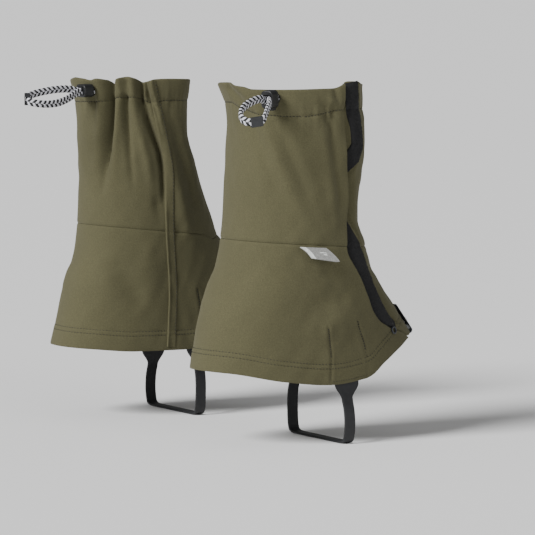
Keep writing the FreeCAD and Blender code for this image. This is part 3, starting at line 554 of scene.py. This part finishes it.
OLIVE = (0.078, 0.073, 0.037)
MATERIALS = {
    "cloth": cloth_material("olive_stretch_cloth", OLIVE),
    "cloth_inner": cloth_material("olive_cloth_inner", shade(OLIVE, 0.9)),
    # Painted shade: the stitching thread is darkened to a quarter of the cloth's colour so that the
    # stitches read as shaded dimples.
    "thread": plain_material("olive_thread_shade_darkened", shade(OLIVE, 0.24), 0.7, 1500),
    "thread_dark": plain_material("dark_thread", shade(OLIVE, 0.1), 0.7, 1500),
    "tape": plain_material("black_hook_and_loop", (0.0025, 0.0025, 0.003), 0.85, 1400, 0.9),
    "webbing": plain_material("black_webbing", (0.008, 0.008, 0.009), 0.85, 900, 0.4),
    "plastic": plain_material("black_moulded_plastic", (0.005, 0.0053, 0.006), 0.45, 500, 0.12),
    "clip": plain_material("grey_moulded_plastic", (0.014, 0.015, 0.017), 0.5, 500, 0.12),
    "rubber": plain_material("black_strap_rubber", (0.007, 0.0075, 0.009), 0.6, 350, 0.2),
    "hook": plain_material("dark_coated_steel", (0.045, 0.048, 0.055), 0.38, 700, 0.1, metallic=0.6),
    "steel": plain_material("nickel_plated_steel", (0.62, 0.62, 0.60), 0.28, 300, 0.05, metallic=1.0),
    "label": plain_material("grey_woven_label", (0.27, 0.27, 0.26), 0.6, 900, 0.3),
    "label_pale": plain_material("pale_woven_label", (0.72, 0.74, 0.72), 0.6, 900, 0.3),
    "yarn_black": plain_material("black_yarn", (0.004, 0.004, 0.005), 0.7, 1800, 0.4),
    "yarn_white": plain_material("white_yarn", (0.60, 0.60, 0.64), 0.6, 1800, 0.4),
}

# ---- meshes ----


def new_object(name, vertices, faces, materials, smooth=True, sharp=None, uvs=None, kinds=None):
    mesh = bpy.data.meshes.new(name)
    mesh.from_pydata(np.asarray(vertices).tolist(), [], [list(map(int, f)) for f in faces])
    for material in materials:
        mesh.materials.append(MATERIALS[material])
    if kinds is not None:
        mesh.polygons.foreach_set("material_index", np.asarray(kinds, np.int32))
    if uvs is not None:
        layer = mesh.uv_layers.new(name="cloth")
        corners = np.zeros(len(mesh.loops), np.int32)
        mesh.loops.foreach_get("vertex_index", corners)
        layer.data.foreach_set("uv", np.asarray(uvs, np.float32)[corners].ravel())
    tool = bmesh.new()
    tool.from_mesh(mesh)
    bmesh.ops.recalc_face_normals(tool, faces=tool.faces)
    tool.to_mesh(mesh)
    tool.free()
    mesh.polygons.foreach_set("use_smooth", np.full(len(mesh.polygons), smooth))
    if sharp is not None:
        mesh.set_sharp_from_angle(angle=math.radians(sharp))
    return linked(name, mesh)


def grid_faces(rows, columns, first=0, closed=False):
    """The faces of a grid of points, which go round its columns where it is closed."""
    steps = columns if closed else columns - 1
    i, j = np.meshgrid(np.arange(rows - 1), np.arange(steps), indexing="ij")
    a, c = i.ravel() * columns, j.ravel()
    b, d = a + columns, (c + 1) % columns
    return np.stack([a + c, b + c, b + d, a + d], 1) + first


def tube(name, grid, materials, **looks):
    """A closed tube through a grid of points, ring after ring."""
    rows, columns = grid.shape[:2]
    faces = list(grid_faces(rows, columns, closed=True))
    faces += [list(range(columns)), list(range((rows - 1) * columns, rows * columns))]
    return new_object(name, grid.reshape(-1, 3), faces, materials, **looks)


def shell(name, outer, inner, materials, uv=None):
    """A closed sheet between an outer and an inner grid of points."""
    rows, columns = outer.shape[:2]
    count = rows * columns
    vertices = np.concatenate([outer.reshape(-1, 3), inner.reshape(-1, 3)])
    faces = [grid_faces(rows, columns), grid_faces(rows, columns, count)[:, ::-1]]
    number = np.arange(count).reshape(rows, columns)
    edge = np.concatenate([number[:, 0], number[-1, 1:], number[-2::-1, -1], number[0, -2:0:-1]])
    after = np.roll(edge, -1)
    faces.append(np.stack([edge, after, after + count, edge + count], 1))
    uvs = None if uv is None else np.concatenate([uv.reshape(-1, 2)] * 2)
    return new_object(name, vertices, np.concatenate(faces), materials, sharp=50, uvs=uvs)


def patch(side, angles, heights, step=1.25):
    """A grid of angles and heights between two upright edges and a lower and an upper one."""
    z = np.array(heights[0](side, np.array(90.0)) + heights[1](side, np.array(90.0))) / 2
    span = abs(angles[1](side, z) - angles[0](side, z)) * math.pi / 180 * PATCH_RADIUS
    tall = abs(heights[1](side, np.array(90.0)) - heights[0](side, np.array(90.0)))
    rows, columns = max(int(span / step), 3), max(int(tall / step), 3)
    u, v = np.meshgrid(np.linspace(0, 1, rows + 1), np.linspace(0, 1, columns + 1), indexing="ij")
    z = np.full(u.shape, 150.0)
    for _ in range(30):
        angle = (1 - u) * angles[0](side, z) + u * angles[1](side, z)
        z = 0.5 * z + 0.5 * ((1 - v) * heights[0](side, angle) + v * heights[1](side, angle))
    return angle, z


def uv_of(angle, z):
    return np.stack([np.radians(angle) * UV_RADIUS, z], -1) * MM


def rounded(shape, amount, edges):
    """An inward dip of a grid's outermost rows on the named edges, so that they look turned."""
    dip = np.zeros(shape)
    every = slice(None)
    for edge in edges.split():
        dip[{"start": 0, "end": -1, "low": (every, 0), "high": (every, -1)}[edge]] = amount
    return dip


def fixed(value):
    return lambda side, place: np.full(np.shape(place), float(value))


def shifted(function, by):
    return lambda side, place: function(side, place) + by


def hem(side, angle):
    return HEM[side](angle)


def hinge(side, z):
    return HINGE[side](z)


def closure(side, z):
    return closure_at(z)


def underlap(side, z):
    return closure_at(z) + arc(side, 7.5, z)


def medial(side, z):
    return medial_at(z)


def medial_turned(side, z):
    return medial_at(z) + 360


# The upright edges of each part of the cloth, rear to front.
SPANS = {"rear": (hinge, medial_turned), "front": (medial, underlap), "flap": (closure, hinge)}


def cloth_piece(name, side, part, angles, heights, edges, out=0.0, thick=CLOTH,
                materials=("cloth",), step=1.25):
    angle, z = patch(side, angles, heights, step)
    dip = rounded(angle.shape, 0.28, edges)
    outer = lay(side, part, angle, z, out - dip)
    inner = lay(side, part, angle, z, out - thick + dip)
    made = shell(name, outer, inner, materials, uv_of(angle, z))
    return made


def settle(made, side, part, slot, *replaced):
    """A finished piece is attached to its gaiter, or for the flap has its placement baked into its
    mesh.
    """
    if part == "flap":
        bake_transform(made)
    else:
        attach(made, f"{side}_gaiter")
    if replaced:
        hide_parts(*(f"{side}_{node}" for node in replaced))
    return made


# ---- drawcords, first of the making ----

LOOPS = {
    "right": {
        "hole": (136.0, 277.0), "way": (-0.86, -0.5, -0.08),
        "points": (
            (-48.5, -170.6, 277.2), (-56.0, -173.6, 275.9), (-66.7, -177.5, 272.0),
            (-74.0, -183.5, 266.6), (-76.0, -191.2, 261.8), (-72.6, -197.2, 259.4),
            (-61.8, -200.1, 261.0), (-56.4, -193.4, 266.4), (-49.8, -185.4, 271.4),
            (-43.6, -177.6, 275.0),
        ),
        "length": 0.136,
    },
    "left": {
        "hole": (-163.0, 276.5), "way": (-0.99, -0.12, -0.03),
        "points": (
            (-88.0, 97.4, 277.9), (-99.3, 95.9, 277.8), (-110.9, 94.6, 276.5),
            (-121.5, 93.8, 274.5), (-129.3, 91.6, 272.2), (-133.9, 81.4, 268.5),
            (-127.4, 76.6, 266.8), (-117.4, 76.8, 266.0), (-106.2, 79.6, 266.8),
            (-95.4, 84.8, 269.8), (-86.4, 90.6, 273.6),
        ),
        "length": 0.155,
    },
}
CORD_APART, CORD_WIDE, CORD_THICK, CHEVRON = 3.3, 6.2, 3.0, 4.3


def loop_route(side):
    """The loop's control points in metres, from one strand in the cloth round to the other."""
    angle, z = LOOPS[side]["hole"]
    turn = math.radians(angle)
    far = float(reach(side, angle, z))
    hole = point(side, LEG_CENTRE + far * math.cos(turn), far * math.sin(turn), z) / MM
    way = np.array(LOOPS[side]["way"]) / np.linalg.norm(LOOPS[side]["way"])
    across = np.cross(way, (0, 0, 1))
    across *= CORD_APART / 2 / np.linalg.norm(across)
    down = np.array([0, 0, -0.35])
    out = [hole, hole + way * 8 + down * 0.5, hole + way * 17 + down]
    route = [p + across for p in out] + [np.array(p) for p in LOOPS[side]["points"]]
    route += [p - across for p in out[::-1]]
    return [Vector(p * MM) for p in route]


def smooth_route(name, route):
    """Points along the NURBS curve that has the route as its control points."""
    data = bpy.data.curves.new(name, "CURVE")
    data.dimensions, data.resolution_u = "3D", 24
    spline = data.splines.new("NURBS")
    spline.points.add(len(route) - 1)
    for place, control in zip(spline.points, route):
        place.co = (*control, 1)
    spline.order_u = 3
    spline.use_endpoint_u = True
    holder = linked(name, data)
    bpy.context.view_layer.update()
    evaluated = holder.evaluated_get(bpy.context.evaluated_depsgraph_get())
    mesh = bpy.data.meshes.new_from_object(evaluated)
    points = np.array([v.co for v in mesh.vertices], float)
    bpy.data.meshes.remove(mesh)
    bpy.data.objects.remove(holder)
    bpy.data.curves.remove(data)
    return points


def lengths(points):
    """How far along a line each of its points lies."""
    steps = np.linalg.norm(np.diff(points, axis=0), axis=1)
    return np.concatenate([[0], np.cumsum(steps)])


def spaced(points, step):
    """The same line in equal steps, in millimetres."""
    points = np.asarray(points) / MM
    along = lengths(points)
    places = np.linspace(0, along[-1], int(along[-1] / step) + 1)
    return np.stack([np.interp(places, along, points[:, k]) for k in range(3)], 1), places


def carriers(s, w):
    """Which yarn lies on top: slanted blocks that meet in chevrons, half a step apart."""
    return s / CHEVRON - 0.42 * abs(w) + 0.5 * (w > 0)


def braid(name, points, step=0.3, around=36):
    """A flat braided cord whose slanted yarns meet in chevrons along its middle."""
    middle, along = spaced(points, step)
    tangent = np.gradient(middle, axis=0)
    tangent /= np.linalg.norm(tangent, axis=1)[:, None]
    up = np.array([0, 0, 1.0]) - tangent * tangent[:, 2:]
    up /= np.linalg.norm(up, axis=1)[:, None]
    beside = np.cross(tangent, up)
    phi = np.linspace(0, 2 * math.pi, around, endpoint=False)
    cosine, sine = np.cos(phi), np.sin(phi)
    across, flat = bulged(cosine, 0.8), bulged(sine, 0.75)
    s, w = along[:, None], across[None, :]
    yarn = abs(np.sin(math.pi * 2 * carriers(s, w))) ** 0.7
    height = 0.26 * yarn - 0.13
    near = np.clip(np.minimum(along, along[-1] - along) / 1.5, 0, 1)[:, None]
    a = (CORD_WIDE / 2 - 0.12) * across[None, :] + height * near * cosine[None, :]
    b = (CORD_THICK / 2 - 0.12) * flat[None, :] + height * near * sine[None, :]
    body = middle[:, None] + up[:, None] * a[..., None] + beside[:, None] * b[..., None]
    cw = bulged(np.cos(phi[None, :] + math.pi / around), 0.8)
    kinds = (np.mod(carriers(along[:-1, None] + step / 2, cw), 1) < 0.46).astype(int).ravel()
    kinds = np.concatenate([kinds, [0, 0]])
    return tube(name, body * MM, ("yarn_black", "yarn_white"), kinds=kinds, sharp=60)


def make_loop(side):
    route = loop_route(side)
    points = smooth_route(f"{side}_loop_line", route)
    made = braid(f"{side}_drawcord_loop_cord", points)
    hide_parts(f"{side}_drawcord_loop")
    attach(made, f"{side}_gaiter")
    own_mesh(made)


for side in SIGNS:
    make_loop(side)


def channel_cord(side, part, node, first, last):
    """The cord inside the top band, flat against its outer wall."""
    body = []
    angles = np.linspace(first, last, max(int(abs(last - first) / 1.5), 4))
    phi = np.linspace(0, 2 * math.pi, 10, endpoint=False)
    low, high = stitch_line(side, angles), rim(side, angles)
    mid = low + 0.46 * (high - low)
    ahead = angles > 360 + float(medial_at(BAND_Z))
    sunk = np.where(ahead, on_front(side, angles - 360, mid), 0)
    for c, s in zip(np.cos(phi), np.sin(phi)):
        body.append(lay(side, part, angles, mid + 2.6 * c, sunk - 1.9 + 0.5 * s))
    grid = np.stack(body, 1)
    rows, columns = grid.shape[:2]
    kinds = [k % 2 for k in range(rows - 1) for _ in range(columns)] + [0, 0]
    made = tube(f"{side}_{node}_cord", grid, ("yarn_black", "yarn_white"), kinds=kinds, sharp=60)
    return settle(made, side, part, "cord", node)


def band_ends(side):
    """The angles of the flap's fold line and free edge at the top band."""
    return float(HINGE[side](BAND_Z)), float(closure_at(BAND_Z))


for side in SIGNS:
    fold_at, edge = band_ends(side)
    hole = LOOPS[side]["hole"][0] % 360
    channel_cord(side, "rear", "drawcord_short_run", fold_at + 0.2, hole - 2)
    channel_cord(side, "rear", "drawcord_long_run", hole + 2, 360 + edge - 5)
    channel_cord(side, "flap", "drawcord_flap_run", edge + 2, fold_at)

# ---- cloth ----


def panels(side):
    gap = 0.12
    lower, upper = (hem, shifted(seam, -gap)), (shifted(seam, gap), stitch_line)
    for node, part, heights, edges in (
        ("upper_rear_panel", "rear", upper, "low end"),
        ("lower_rear_panel", "rear", lower, "low high end"),
        ("upper_front_panel", "front", upper, "low start end"),
        ("lower_front_panel", "front", lower, "low high start end"),
        ("upper_flap", "flap", upper, "low start"),
        ("lower_flap", "flap", lower, "low high start"),
    ):
        made = cloth_piece(f"{side}_{node}_cloth", side, part, SPANS[part], heights, edges)
        settle(made, side, part, "cloth", node)


def band_ring(side, angle):
    """One section across the folded top band."""
    line, top = stitch_line(side, angle), rim(side, angle)
    tall = top - line
    share = np.concatenate([np.linspace(0, 0.93, 15), [0.975, 1.0, 0.985]])
    out = np.concatenate([np.zeros(15), [-0.25, -0.95, -1.7]])
    inner = np.linspace(0.93, 0.0, 12)
    deep = -2.0 - 2.6 * np.sin(math.pi * inner ** 0.8) * 0.7
    deep[-1] = -1.3
    share, out = np.concatenate([share, inner]), np.concatenate([out, deep])
    return line + tall * share, out


def band(side, part, node, first, last):
    angles = np.linspace(first, last, max(int(abs(last - first) / 0.9), 6))
    rings = []
    for angle in angles:
        z, out = band_ring(side, angle)
        rings.append(lay(side, part, np.full(z.shape, angle), z, out))
    grid = np.stack(rings)
    across, up = np.radians(angles)[:, None] * UV_RADIUS, np.arange(grid.shape[1])[None] * 1.3
    uvs = np.stack(np.broadcast_arrays(across, up), -1).reshape(-1, 2) * MM
    made = tube(f"{side}_{node}_cloth", grid, ("cloth",), sharp=60, uvs=uvs)
    return settle(made, side, part, "cloth", node)


def bands(side):
    fold_at, edge = band_ends(side)
    seam_at = float(medial_at(BAND_Z))
    band(side, "rear", "top_band_rear", fold_at, 360 + seam_at)
    band(side, "front", "top_band_front", seam_at, edge - 3)
    band(side, "flap", "top_band_flap", edge, fold_at)


def facings(side):
    heights = shifted(hem, 0.3), shifted(hem, 17.5)
    for name, part, node in (
        ("hem_facing_rear", "rear", "hem_facing"),
        ("hem_facing_front", "front", "hem_facing"),
        ("flap_hem_facing_cloth", "flap", "flap_hem_facing"),
    ):
        made = cloth_piece(f"{side}_{name}", side, part, SPANS[part], heights, "high",
                           out=-CLOTH - 0.1, thick=0.8, materials=("cloth_inner",), step=2.0)
        settle(made, side, part, "cloth_inner", node)


def anchors(side):
    for name, first, last in (("lateral", 61, 86), ("medial", -86, -58)):
        made = cloth_piece(f"{side}_strap_anchor_{name}", side, "rear", (fixed(first), fixed(last)),
                           (shifted(hem, 2.5), shifted(hem, 13)), "low high start end",
                           out=-2.0, thick=0.8, materials=("webbing",), step=2.0)
        settle(made, side, "rear", "black_webbing", "strap_anchors")


# ---- hook-and-loop tapes and the seam strip ----


def along_line(side, table_at, low, high, half, step, columns):
    """A grid of angles and heights beside a line on the cloth, square to it."""
    z = np.linspace(low, high, int((high - low) / step))
    middle = table_at(z)
    radius = reach(side, middle, z) * math.pi / 180
    run = np.stack([np.gradient(middle) * radius, np.gradient(z)], 1)
    run /= np.linalg.norm(run, axis=1)[:, None]
    square = np.stack([run[:, 1], -run[:, 0]], 1)
    w = np.linspace(-1, 1, columns)
    beside = np.reshape(half, (-1, 1)) * w[None]
    angle = middle[:, None] + beside * square[:, :1] / radius[:, None]
    return angle, z[:, None] + beside * square[:, 1:], w


def loop_tape(side):
    low, high, step = 89.5, float(rim(side, 70)) - 0.8, 0.7
    z = np.linspace(low, high, int((high - low) / step))
    half = TAPE_HALF + 1.4 * ease((124 - z) / 16)
    half *= np.sqrt(np.clip(1 - np.clip((low + 6 - z) / 6, 0, 1) ** 2, 0.02, 1))
    angle, z, w = along_line(side, tape_at, low, high, half, step, 25)
    rng = np.random.default_rng(11)
    fuzz = rng.uniform(-0.28, 0.38, angle.shape) * (abs(w) < 0.95)[None]
    end = np.linspace(-1, 1, len(angle))[:, None]
    bow = 0.8 * bell(z - 243, 14)
    crown = 0.35 * (1 - w[None] ** 2) + bow
    base = 0.5 - 0.3 * (abs(w) > 0.98)[None] - 0.4 * (abs(end) > 0.992)
    outer = lay(side, "front", angle, z, base + crown + fuzz)
    inner = lay(side, "front", angle, z, -0.25 + 0.3 * bow)
    made = shell(f"{side}_loop_tape", outer, inner, ("tape",), uv_of(angle, z))
    return settle(made, side, "front", "black_webbing", "loop_strip")


def hook_tape(side):
    def middle(z):
        return closure_at(z) + arc(side, 6.0, z)

    angle, z, w = along_line(side, middle, low=96, high=266, half=4.2, step=1.0, columns=11)
    rng = np.random.default_rng(12)
    fuzz = rng.uniform(-0.1, 0.2, angle.shape) * (abs(w) < 0.95)[None]
    outer = lay(side, "flap", angle, z, -CLOTH + 0.05)
    inner = lay(side, "flap", angle, z, -CLOTH - 0.75 - fuzz)
    made = shell(f"{side}_hook_tape", outer, inner, ("tape",), uv_of(angle, z))
    return settle(made, side, "flap", "black_webbing", "hook_strip")


def strip_top(side):
    return min(283.5, float(rim(side, medial_at(282))) - 0.8)


def seam_strip(side):
    """The inner side's seam: cloth folded over, rolled at its rear edge."""
    angle, z, w = along_line(side, medial_at, 60, strip_top(side), half=4.1, step=1.0, columns=13)
    low = hem(side, angle)
    z = np.maximum(z, low + 0.3)
    rear = -w[None]
    profile = 0.55 + 0.6 * bell(rear - 0.72, 0.26) + 0.14 * np.sin(z / 3.6 + 2 * w[None])
    profile = profile * np.clip((1 - abs(w[None])) * 9, 0.1, 1)
    outer = lay(side, "rear", angle, z, profile)
    inner = lay(side, "rear", angle, z, -0.4)
    made = shell(f"{side}_medial_seam_cloth", outer, inner, ("cloth",), uv_of(angle, z))
    return settle(made, side, "rear", "seam_binding", "medial_seam_strip")


# ---- stitching ----


def stitches(name, side, part, angles, heights, pitch=2.6, long=1.7, thick=0.26, out=0.0,
             yarn="thread"):
    """Sewn stitches along a line given as angles and heights."""
    line = lay(side, part, angles, heights, out) / MM
    lift = lay(side, part, angles, heights, out + 1.0) / MM - line
    along = lengths(line)
    starts = np.arange(0.6, along[-1] - long, pitch)
    shares = np.array([0, 0.14, 0.5, 0.86, 1.0])
    rise = np.array([-0.2, 0.06, 0.16, 0.06, -0.2])
    size = np.array([0.25, 0.85, 1.0, 0.85, 0.25]) * thick
    ring = 6
    phi = np.linspace(0, 2 * math.pi, ring, endpoint=False)
    places = starts[:, None] + long * shares[None]
    middle = np.stack([np.interp(places, along, line[:, k]) for k in range(3)], -1)
    normal = np.stack([np.interp(places, along, lift[:, k]) for k in range(3)], -1)
    normal /= np.linalg.norm(normal, axis=-1, keepdims=True)
    run = middle[:, -1:] - middle[:, :1]
    run = run / np.linalg.norm(run, axis=-1, keepdims=True)
    beside = np.cross(normal, np.broadcast_to(run, normal.shape))
    middle = middle + normal * rise[None, :, None]
    body = (
        middle[:, :, None] + size[None, :, None, None]
        * (beside[:, :, None] * np.cos(phi)[None, None, :, None]
           + normal[:, :, None] * np.sin(phi)[None, None, :, None])
    )
    each = len(shares) * ring
    base = list(grid_faces(len(shares), ring, closed=True))
    base += [list(range(ring)), list(range(each - ring, each))]
    faces = [[v + k * each for v in face] for k in range(len(starts)) for face in base]
    made = new_object(name, body.reshape(-1, 3) * MM, faces, (yarn,))
    return settle(made, side, part, "thread")


def stitch_rows(side):
    fold_low, edge_low, seam_low = 54.0, 14.0, -100.0
    fold_at, edge = band_ends(side)
    seam_at = float(medial_at(270))
    for part, first, last in (
        ("rear", fold_at, 360 + seam_at - 4), ("front", seam_at + 4, edge - 4),
        ("flap", edge + 1, fold_at),
    ):
        angles = np.linspace(first, last, 260)
        stitches(f"{side}_top_band_stitching_{part}", side, part, angles,
                 stitch_line(side, angles) + 0.1, thick=0.36)
    for number, row in enumerate(HEM_ROWS, start=1):
        for part, first, last in (
            ("rear", fold_low + 2, 360 + seam_low - 3.5), ("front", seam_low + 3.5, edge_low + 6),
            ("flap", edge_low + 12, fold_low + 1),
        ):
            angles = np.linspace(first, last, 300)
            stitches(f"{side}_hem_stitching_{part}_{number}", side, part, angles,
                     hem(side, angles) + row, pitch=2.8, thick=0.32)
    z = np.linspace(70, strip_top(side) - 1.5, 300)
    strip = medial_at(z) + np.degrees(3.0 / reach(side, medial_at(z), z))
    stitches(f"{side}_medial_seam_stitching", side, "rear", strip, z, pitch=2.9, thick=0.34, out=0.6)


def darts(side):
    for number, line in enumerate(DART_LINES[side], start=1):
        table = sorted((z, angle) for angle, z, _ in line)
        angle_at = curve(table)
        part = "front" if side == "left" else ("rear" if number == 1 else "flap")
        dense = np.linspace(line[1][1], line[0][1], 120)
        stitches(f"{side}_dart_stitching_{number}", side, part, angle_at(dense), dense,
                 pitch=1.5 if number == 1 else 2.1, long=1.0 if number == 1 else 1.4, thick=0.55,
                 yarn="thread_dark")
        fine = np.linspace(line[2][1] + 1.5, line[1][1], 120)
        stitches(f"{side}_dart_stitching_low_{number}", side, part, angle_at(fine), fine, pitch=2.3,
                 long=1.5, thick=0.2)
    if side == "right":
        first, last = dart_angle(side, 44.5, 55), dart_angle(side, 9.3, 51)
        fold_low = float(HINGE[side](54))
        for part, start, end in (("rear", fold_low, last), ("flap", first, fold_low)):
            angles = np.linspace(start, end, 80)
            stitches(f"{side}_strap_stitching_{part}", side, part, angles, hem(side, angles) + 2.8,
                     pitch=2.4, thick=0.2)


# ---- label ----


def label(side):
    """A woven label sewn into the seam, its rear end folded back over a paler lining."""
    sign = SIGNS[side]
    long, drop, skew, tilt = 23.5, 13.5, 8.0, math.radians(38)
    x0, z0 = -8.6, 158.7
    at = angle_ahead(side, x0, z0, 60.0, 150.0)
    lateral = float(reach(side, at, z0)) * math.sin(math.radians(at)) + 1.4
    origin = point(side, x0, lateral, z0) / MM
    down = np.array([0, sign * math.sin(tilt), -math.cos(tilt)])
    run = np.array([1, 0, -0.065])
    run /= np.linalg.norm(run)
    out = np.cross(run, down)
    out *= np.sign(out[1] * sign)
    lengthwise, downwards = np.linspace(-long / 2, long / 2, 44), np.linspace(0, drop, 30)
    u, v = np.meshgrid(lengthwise, downwards, indexing="ij")
    along = u + skew * (v / drop) + 1.6 * (v / drop) ** 2 * (u / long)
    corner = np.exp(-((u - long / 2) ** 2 + (v - drop) ** 2) / 5)
    along, deep = along - 0.8 * corner, v * (0.88 + 0.24 * u / long) - 0.7 * corner
    curl = 0.9 * np.sin(math.pi * v / drop) + 0.5 * (v / drop) ** 2 * (u / long)
    places = origin + along[..., None] * run + deep[..., None] * down + curl[..., None] * out
    thick = 0.35
    border = (abs(u) > long / 2 - 0.9) | (v > drop - 0.9)
    ribs = 0.06 * np.sin(v * 6)
    outer = (places + (thick + 0.1 * border + ribs * ~border)[..., None] * out) * MM
    inner = (places - thick * out) * MM
    made = shell(f"{side}_label_tape", outer, inner, ("label", "label_pale"), uv_of(u, v))
    pale = np.zeros(len(made.data.polygons), np.int32)
    centre = (u[:-1, :-1] + u[1:, 1:]) / 2
    height = (v[:-1, :-1] + v[1:, 1:]) / 2
    lining = centre < -long / 2 + 5.2 - 0.12 * height
    dash = (abs(centre - 3.5) < 3.0) & (abs(height - 6.2) < 0.45)
    dash |= (abs(centre - 3.5) < 1.7) & (abs(height - 8.0) < 0.45)
    pale[: centre.size] = (lining | dash).ravel()
    made.data.polygons.foreach_set("material_index", pale)
    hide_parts(f"{side}_label")
    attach(made, f"{side}_label_tab")


# ---- strap, buttonhole and the CAD pieces that stay ----


# The strap's place along the foot, and the heights of the hem above its outer and inner arm.
STRAP_X, HEM_OUTER, HEM_INNER = 27.5, 48.0, 57.0


def strap(side):
    """The moulded strap under the foot, flared where it meets the hem."""
    arms = []
    for sign, end, edge in ((1, 61, HEM_OUTER), (-1, 70, HEM_INNER)):
        arms.append([(sign * beside, z) for beside, z in (
            (42.6, end), (42.6, edge - 5), (43.6, edge - 12), (47.2, edge - 22),
            (48.2, edge - 32), (47.6, 10.0), (45.0, 2.6), (38.0, 1.0), (20.0, 1.0))])
    line = np.array(arms[0] + arms[1][::-1], float)
    keys = np.arange(len(line))
    fine = np.linspace(0, len(line) - 1, 170)
    table = [curve([(k, *line[k]) for k in keys], c)(fine) for c in (1, 2)]
    lateral, z = (np.convolve(np.pad(v, 3, mode="edge"), np.ones(7) / 7, "valid") for v in table)
    run = np.stack([np.gradient(lateral), np.gradient(z)], 1)
    run /= np.linalg.norm(run, axis=1)[:, None]
    square = np.stack([-run[:, 1], run[:, 0]], 1)
    edge = np.where(lateral > 0, HEM_OUTER, HEM_INNER)
    half = 4.75 + 5.9 * ease((z - edge + 12) / 12)
    thick = 0.95 + 0.1 * ease((z - edge + 14) / 6)
    phi = np.linspace(0, 2 * math.pi, 28, endpoint=False)
    wide, deep = bulged(np.cos(phi), 0.32), bulged(np.sin(phi), 0.32)
    x = STRAP_X + half[:, None] * wide[None]
    groove = 0.16 * bell(wide[None] * half[:, None], 1.1) * np.sign(deep)[None]
    push = thick[:, None] * deep[None] - groove
    grid = point(side, x, lateral[:, None] + square[:, :1] * push, z[:, None] + square[:, 1:] * push)
    made = tube(f"{side}_instep_strap", grid, ("rubber",), sharp=45)
    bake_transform(made)
    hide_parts(f"{side}_stirrup_strap")


CAD_LOOKS = {
    "cord_end_clip": "clip", "cord_lock_body": "plastic", "cord_lock_plunger": "plastic",
    "cord_lock_spring": "steel", "cord_buttonhole": "thread", "flap_eyelet": "hook",
    "lace_hook": "hook", "hook_rivet": "steel", "hook_tab": "webbing",
}


def dress_cad(side):
    """Materials for the CAD pieces that stay."""
    for node, material in CAD_LOOKS.items():
        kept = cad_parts[f"{side}_{node}"]
        for place in kept.material_slots:
            place.material = MATERIALS[material]
        if not kept.material_slots:
            kept.data.materials.append(MATERIALS[material])


for side in SIGNS:
    panels(side)
    bands(side)
    facings(side)
    anchors(side)
    loop_tape(side)
    hook_tape(side)
    seam_strip(side)
    stitch_rows(side)
    darts(side)
    label(side)
    strap(side)
    dress_cad(side)

# ---- floor and light ----


def make_floor():
    mesh = bpy.data.meshes.new("floor")
    size = 60.0
    corners = [(-size, -size, 0), (size, -size, 0), (size, size, 0), (-size, size, 0)]
    mesh.from_pydata(corners, [], [(0, 1, 2, 3)])
    floor = linked("floor", mesh)
    material, _, _ = new_material("pale_floor", (0.86, 0.86, 0.86), 0.95)
    mesh.materials.append(material)


def area_light(name, place, target, size, power):
    data = bpy.data.lights.new(name, "AREA")
    data.shape, data.size, data.energy = "SQUARE", size, power
    light = linked(name, data)
    light.location = place
    light.rotation_euler = (Vector(target) - Vector(place)).to_track_quat("-Z", "Y").to_euler()


def sun_light(name, towards, power, soft):
    data = bpy.data.lights.new(name, "SUN")
    data.energy, data.angle = power, math.radians(soft)
    light = linked(name, data)
    light.rotation_euler = Vector(towards).to_track_quat("Z", "Y").to_euler()


make_floor()
sun_light("key", (-0.80, -0.20, 0.60), 5.0, 24)
area_light("fill", (0.3, -3.2, 1.1), (0, -0.1, 0.15), 1.2, 19)
world = bpy.data.worlds.new("studio")
bpy.context.scene.world = world
world.use_nodes = True
world.node_tree.nodes["Background"].inputs["Color"].default_value = (1, 1, 1, 1)
world.node_tree.nodes["Background"].inputs["Strength"].default_value = 0.24
